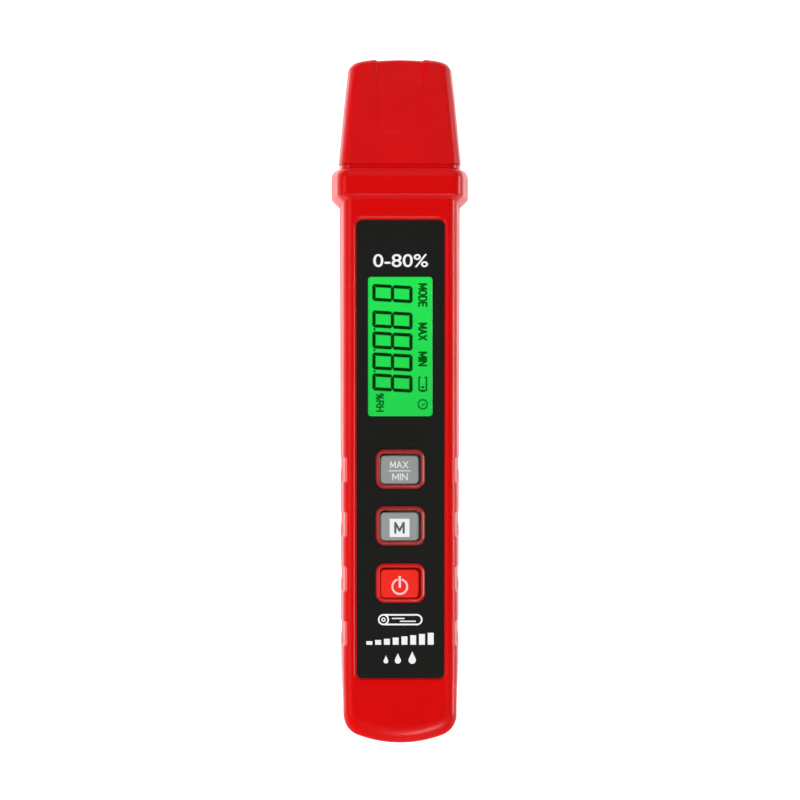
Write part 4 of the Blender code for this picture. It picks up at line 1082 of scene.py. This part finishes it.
def make_prints():
    """Generic legends: a range above the window, pictures below the keys, and the key symbols."""
    z = PANEL_TOP_Z
    bold_text("range_legend", "0-80%", (0.1, 35.2), 13.8, 3.3, z, "ink_white", "housing", "face_panel")
    log_y, scale_y, drops_y = -54.95, -59.75, -64.5
    marks = stroke(circle(-4.2, log_y, 1.2), 0.42) + stroke(circle(-4.2, log_y, 0.4, 16), 0.3)
    marks += stroke([(-3.9, log_y + 1.2), (4.2, log_y + 1.2)], 0.42)
    marks += stroke([(-3.9, log_y - 1.2), (4.2, log_y - 1.2)], 0.42)
    marks += stroke(arc(4.2, log_y, 1.2, -90, 90, 12), 0.42)
    marks += stroke([(-2.0, log_y + 0.3), (1.0, log_y + 0.3)], 0.3)
    marks += stroke([(0.0, log_y - 0.4), (3.8, log_y - 0.4)], 0.3)
    for i in range(8):
        marks.append(bar(-8.5 + 2.2 * i, -7.0 + 2.2 * i, scale_y - 1.5, scale_y - 0.6 + 0.3 * i))
    marks += [drop(-3.6, drops_y - 0.45, 2.0), drop(-0.6, drops_y - 0.2, 2.6), drop(3.0, drops_y, 3.1)]
    ink("wood_to_wet_pictures", marks, z, "ink_white", "housing", "face_panel")
    x, y, z = KEY_SHIFT[0], key_y("max_min") + KEY_SHIFT[1], KEY_TOP_Z
    words = lettering("MAX", (x - 0.1, y + 1.3), 4.6, 1.85, 0.28)
    words += lettering("MIN", (x + 0.1, y - 1.75), 3.95, 1.85, 0.28)
    words += [bar(x - 2.8, x + 2.8, y - 0.38, y - 0.12)]
    ink("max_min_words", words, z, "ink_pale", "max_min_button", "grey_key")
    y = key_y("mode") + KEY_SHIFT[1]
    ink("mode_square", [bar(x - 2.5, x + 2.5, y - 2.6, y + 2.0)], z, "ink_white", "mode_button", "grey_key")
    letter = lettering("M", (x - 0.03, y - 0.27), 2.65, 3.0, 0.55)
    ink("mode_letter", letter, z + PRINT, "ink_grey", "mode_button", "grey_key")
    y = key_y("power") + KEY_SHIFT[1]
    power = stroke(arc(x + 0.05, y - 0.7, 1.85, 112, 428, 40), 0.5)
    power += [bar(x - 0.25, x + 0.35, y - 1.0, y + 1.95)]
    ink("power_symbol", power, z, "ink_pink", "power_button", "red_key")


# Probe


def make_probe():
    """The black holder in the neck and the two turned pins."""
    inset = NECK_WALL + 0.2
    plug = barrel(NECK_HALF_WIDTH - inset, NECK_HALF_DEPTH - inset, NECK_LEAN, 1.2)
    low, high = (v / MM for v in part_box("probe_holder"))
    stations = [(low.y, plug), (NECK_TOP_Y + 0.1, plug)]
    flange = ((NECK_TOP_Y + 0.1, 0.3), (NECK_TOP_Y + 0.25, 0.1), (high.y - 0.5, 0.1), (high.y - 0.15, 0.22),
              (high.y, 0.6))
    for y, inset in flange:
        stations.append((y, barrel(NECK_HALF_WIDTH - inset, NECK_HALF_DEPTH - inset, NECK_LEAN, 2.3)))
    holder = along_y("pin_holder", stations)
    for side in ("left", "right"):
        low, high = (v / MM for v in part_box(f"probe_pin_{side}"))
        x, z = (low.x + high.x) / 2, (low.z + high.z) / 2
        cut(holder, turned("seat", x, z, ((59, 2.35), (72, 2.35))))
        foot, tip = NECK_TOP_Y + 2.0, high.y
        profile = [(low.y, 1.1), (foot, 1.1), (foot, 1.75), (foot + 0.15, 1.95)]
        for i in range(3):
            groove = foot + 0.5 + 0.5 * i
            profile += [(groove - 0.1, 1.98), (groove, 1.86), (groove + 0.1, 1.98)]
        profile += [(foot + 1.9, 1.98), (foot + 2.1, 1.7), (foot + 2.2, 0.98)]
        profile += [(tip - 3.6, 0.95), (tip - 3.4, 0.92), (tip - 1.4, 0.5), (tip - 0.3, 0.16), (tip, 0.05)]
        needle = turned(f"needle_{side}", x, z, profile)
        put(needle, "steel", "housing", "steel", f"probe_pin_{side}", sharp=40)
    put(holder, "black_plastic", "housing", "black_plastic", "probe_holder", sharp=40)


# Inner parts keep their shapes and get their materials


def paint_inner_parts():
    finishes = {
        "black_plastic": ["display_frame", "main_chip", "probe_lead_left"],
        "white_plastic": ["display_backlight", "backlight_lamp"],
        "contact_rubber": ["display_contact_strip"],
        "circuit_board": ["main_board"],
        "aluminium": ["supply_capacitor"],
        "battery_sleeve": ["battery_left", "battery_right"],
        "brass": ["pin_socket_left", "pin_socket_right"],
        "wire_red": ["probe_lead_right"],
        "steel": ["contact_plate_positive", "contact_plate_negative", "contact_bridge",
                  "contact_spring_upper", "contact_spring_lower"],
    }
    finishes["black_plastic"] += [f"{key}_switch_body" for key in KEYS]
    finishes["white_plastic"] += [f"{key}_switch_stem" for key in KEYS]
    finishes["steel"] += [f"{kind}_screw_{i}" for kind in ("case", "board") for i in range(1, 5)]
    for material, nodes in finishes.items():
        for node in nodes:
            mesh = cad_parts[node].data
            mesh.materials.clear()
            mesh.materials.append(MATERIALS[material])


# Studio

VIEW_WIDTH, CAMERA_SIDE, AIM_Z = 201.9, -0.012, 0.018
LENS, SENSOR = 200.0, 36.0


def area_light(name, place, size, radiance, along=(0, 1, 0), glossy=True, diffuse=True):
    """A soft box facing the meter. size is its length along a direction, and its width across it."""
    data = bpy.data.lights.new(name, "AREA")
    data.shape = "RECTANGLE"
    data.size_y, data.size = size
    data.energy = radiance * math.pi * size[0] * size[1]
    light = stand(name, data)
    back = Vector(place).normalized()
    side = Vector(along).cross(back).normalized()
    up = back.cross(side)
    light.matrix_world = Matrix.Translation(place) @ Matrix((side, up, back)).transposed().to_4x4()
    light.visible_glossy = glossy
    light.visible_diffuse = diffuse


def polar(azimuth, elevation, distance):
    a, e = math.radians(azimuth), math.radians(elevation)
    return Vector((math.cos(a) * math.cos(e), math.sin(a) * math.cos(e), math.sin(e))) * distance


def make_floor():
    size = 6.0
    mesh = bpy.data.meshes.new("floor")
    mesh.from_pydata(at(0, bar(-size, size, -size, size)), [], [(0, 1, 2, 3)])
    floor = stand("floor", mesh)
    floor.location.z = -0.00002
    made, _, _, principled = shader("floor_white")
    fill(principled, {"Base Color": (0.85, 0.85, 0.85, 1), "Roughness": 0.9, "Specular IOR Level": 0.0,
                      "Emission Color": (1, 1, 1, 1), "Emission Strength": 0.75})
    mesh.materials.append(made)


def make_world():
    """White at the horizon, to meet the floor, and dark above it, so that the face keeps its colour."""
    world = bpy.data.worlds.new("studio")
    world.use_nodes = True
    nodes, links = world.node_tree.nodes, world.node_tree.links
    where = nodes.new("ShaderNodeTexCoord")
    split = nodes.new("ShaderNodeSeparateXYZ")
    links.new(where.outputs["Generated"], split.inputs["Vector"])
    greys = ((0.0, 0.79), (0.06, 0.79), (0.14, 0.1), (0.6, 0.03))
    stops = [(height, (grey, grey, grey)) for height, grey in greys]
    colours = ramp(nodes, links, split.outputs["Z"], stops)
    links.new(colours, nodes["Background"].inputs["Color"])
    bpy.context.scene.world = world


def make_camera():
    data = bpy.data.cameras.new("camera")
    data.lens, data.sensor_width = LENS, SENSOR
    camera = stand("camera", data)
    aim = Vector((0, 0.0002, AIM_Z))
    back = Vector((CAMERA_SIDE, 0, VIEW_WIDTH * MM * LENS / SENSOR))
    camera.location = aim + back
    camera.rotation_euler = (0, math.atan2(back.x, back.z), 0)
    bpy.context.scene.camera = camera


def make_studio():
    """Three large soft panels for even light, and three small ones for the highlights on the edges."""
    make_floor()
    make_world()
    make_camera()
    for azimuth, radiance in ((80, 1.95), (185, 3.15), (-60, 1.0)):
        place = polar(azimuth, 50, 1.3)
        area_light(f"panel_{azimuth}", place, (1.0, 1.0), radiance, along=(0, 0, 1), glossy=False)
    area_light("right_strip", polar(0, 15, 0.7), (0.55, 0.14), 17.0, diffuse=False)
    area_light("lower_strip", polar(-79, 36, 0.7), (0.2, 0.03), 55.0, along=(0.63, 0.52, 0.58))
    area_light("cap_light", polar(180, 54, 0.8) + Vector((0, 0.08, 0)), (0.12, 0.12), 3.5)
    bpy.context.scene.view_settings.view_transform = "Standard"


make_front()
make_back()
make_door()
make_cap()
make_panel()
make_window()
make_key_rims()
make_keys()
make_display()
make_prints()
make_probe()
paint_inner_parts()
make_studio()
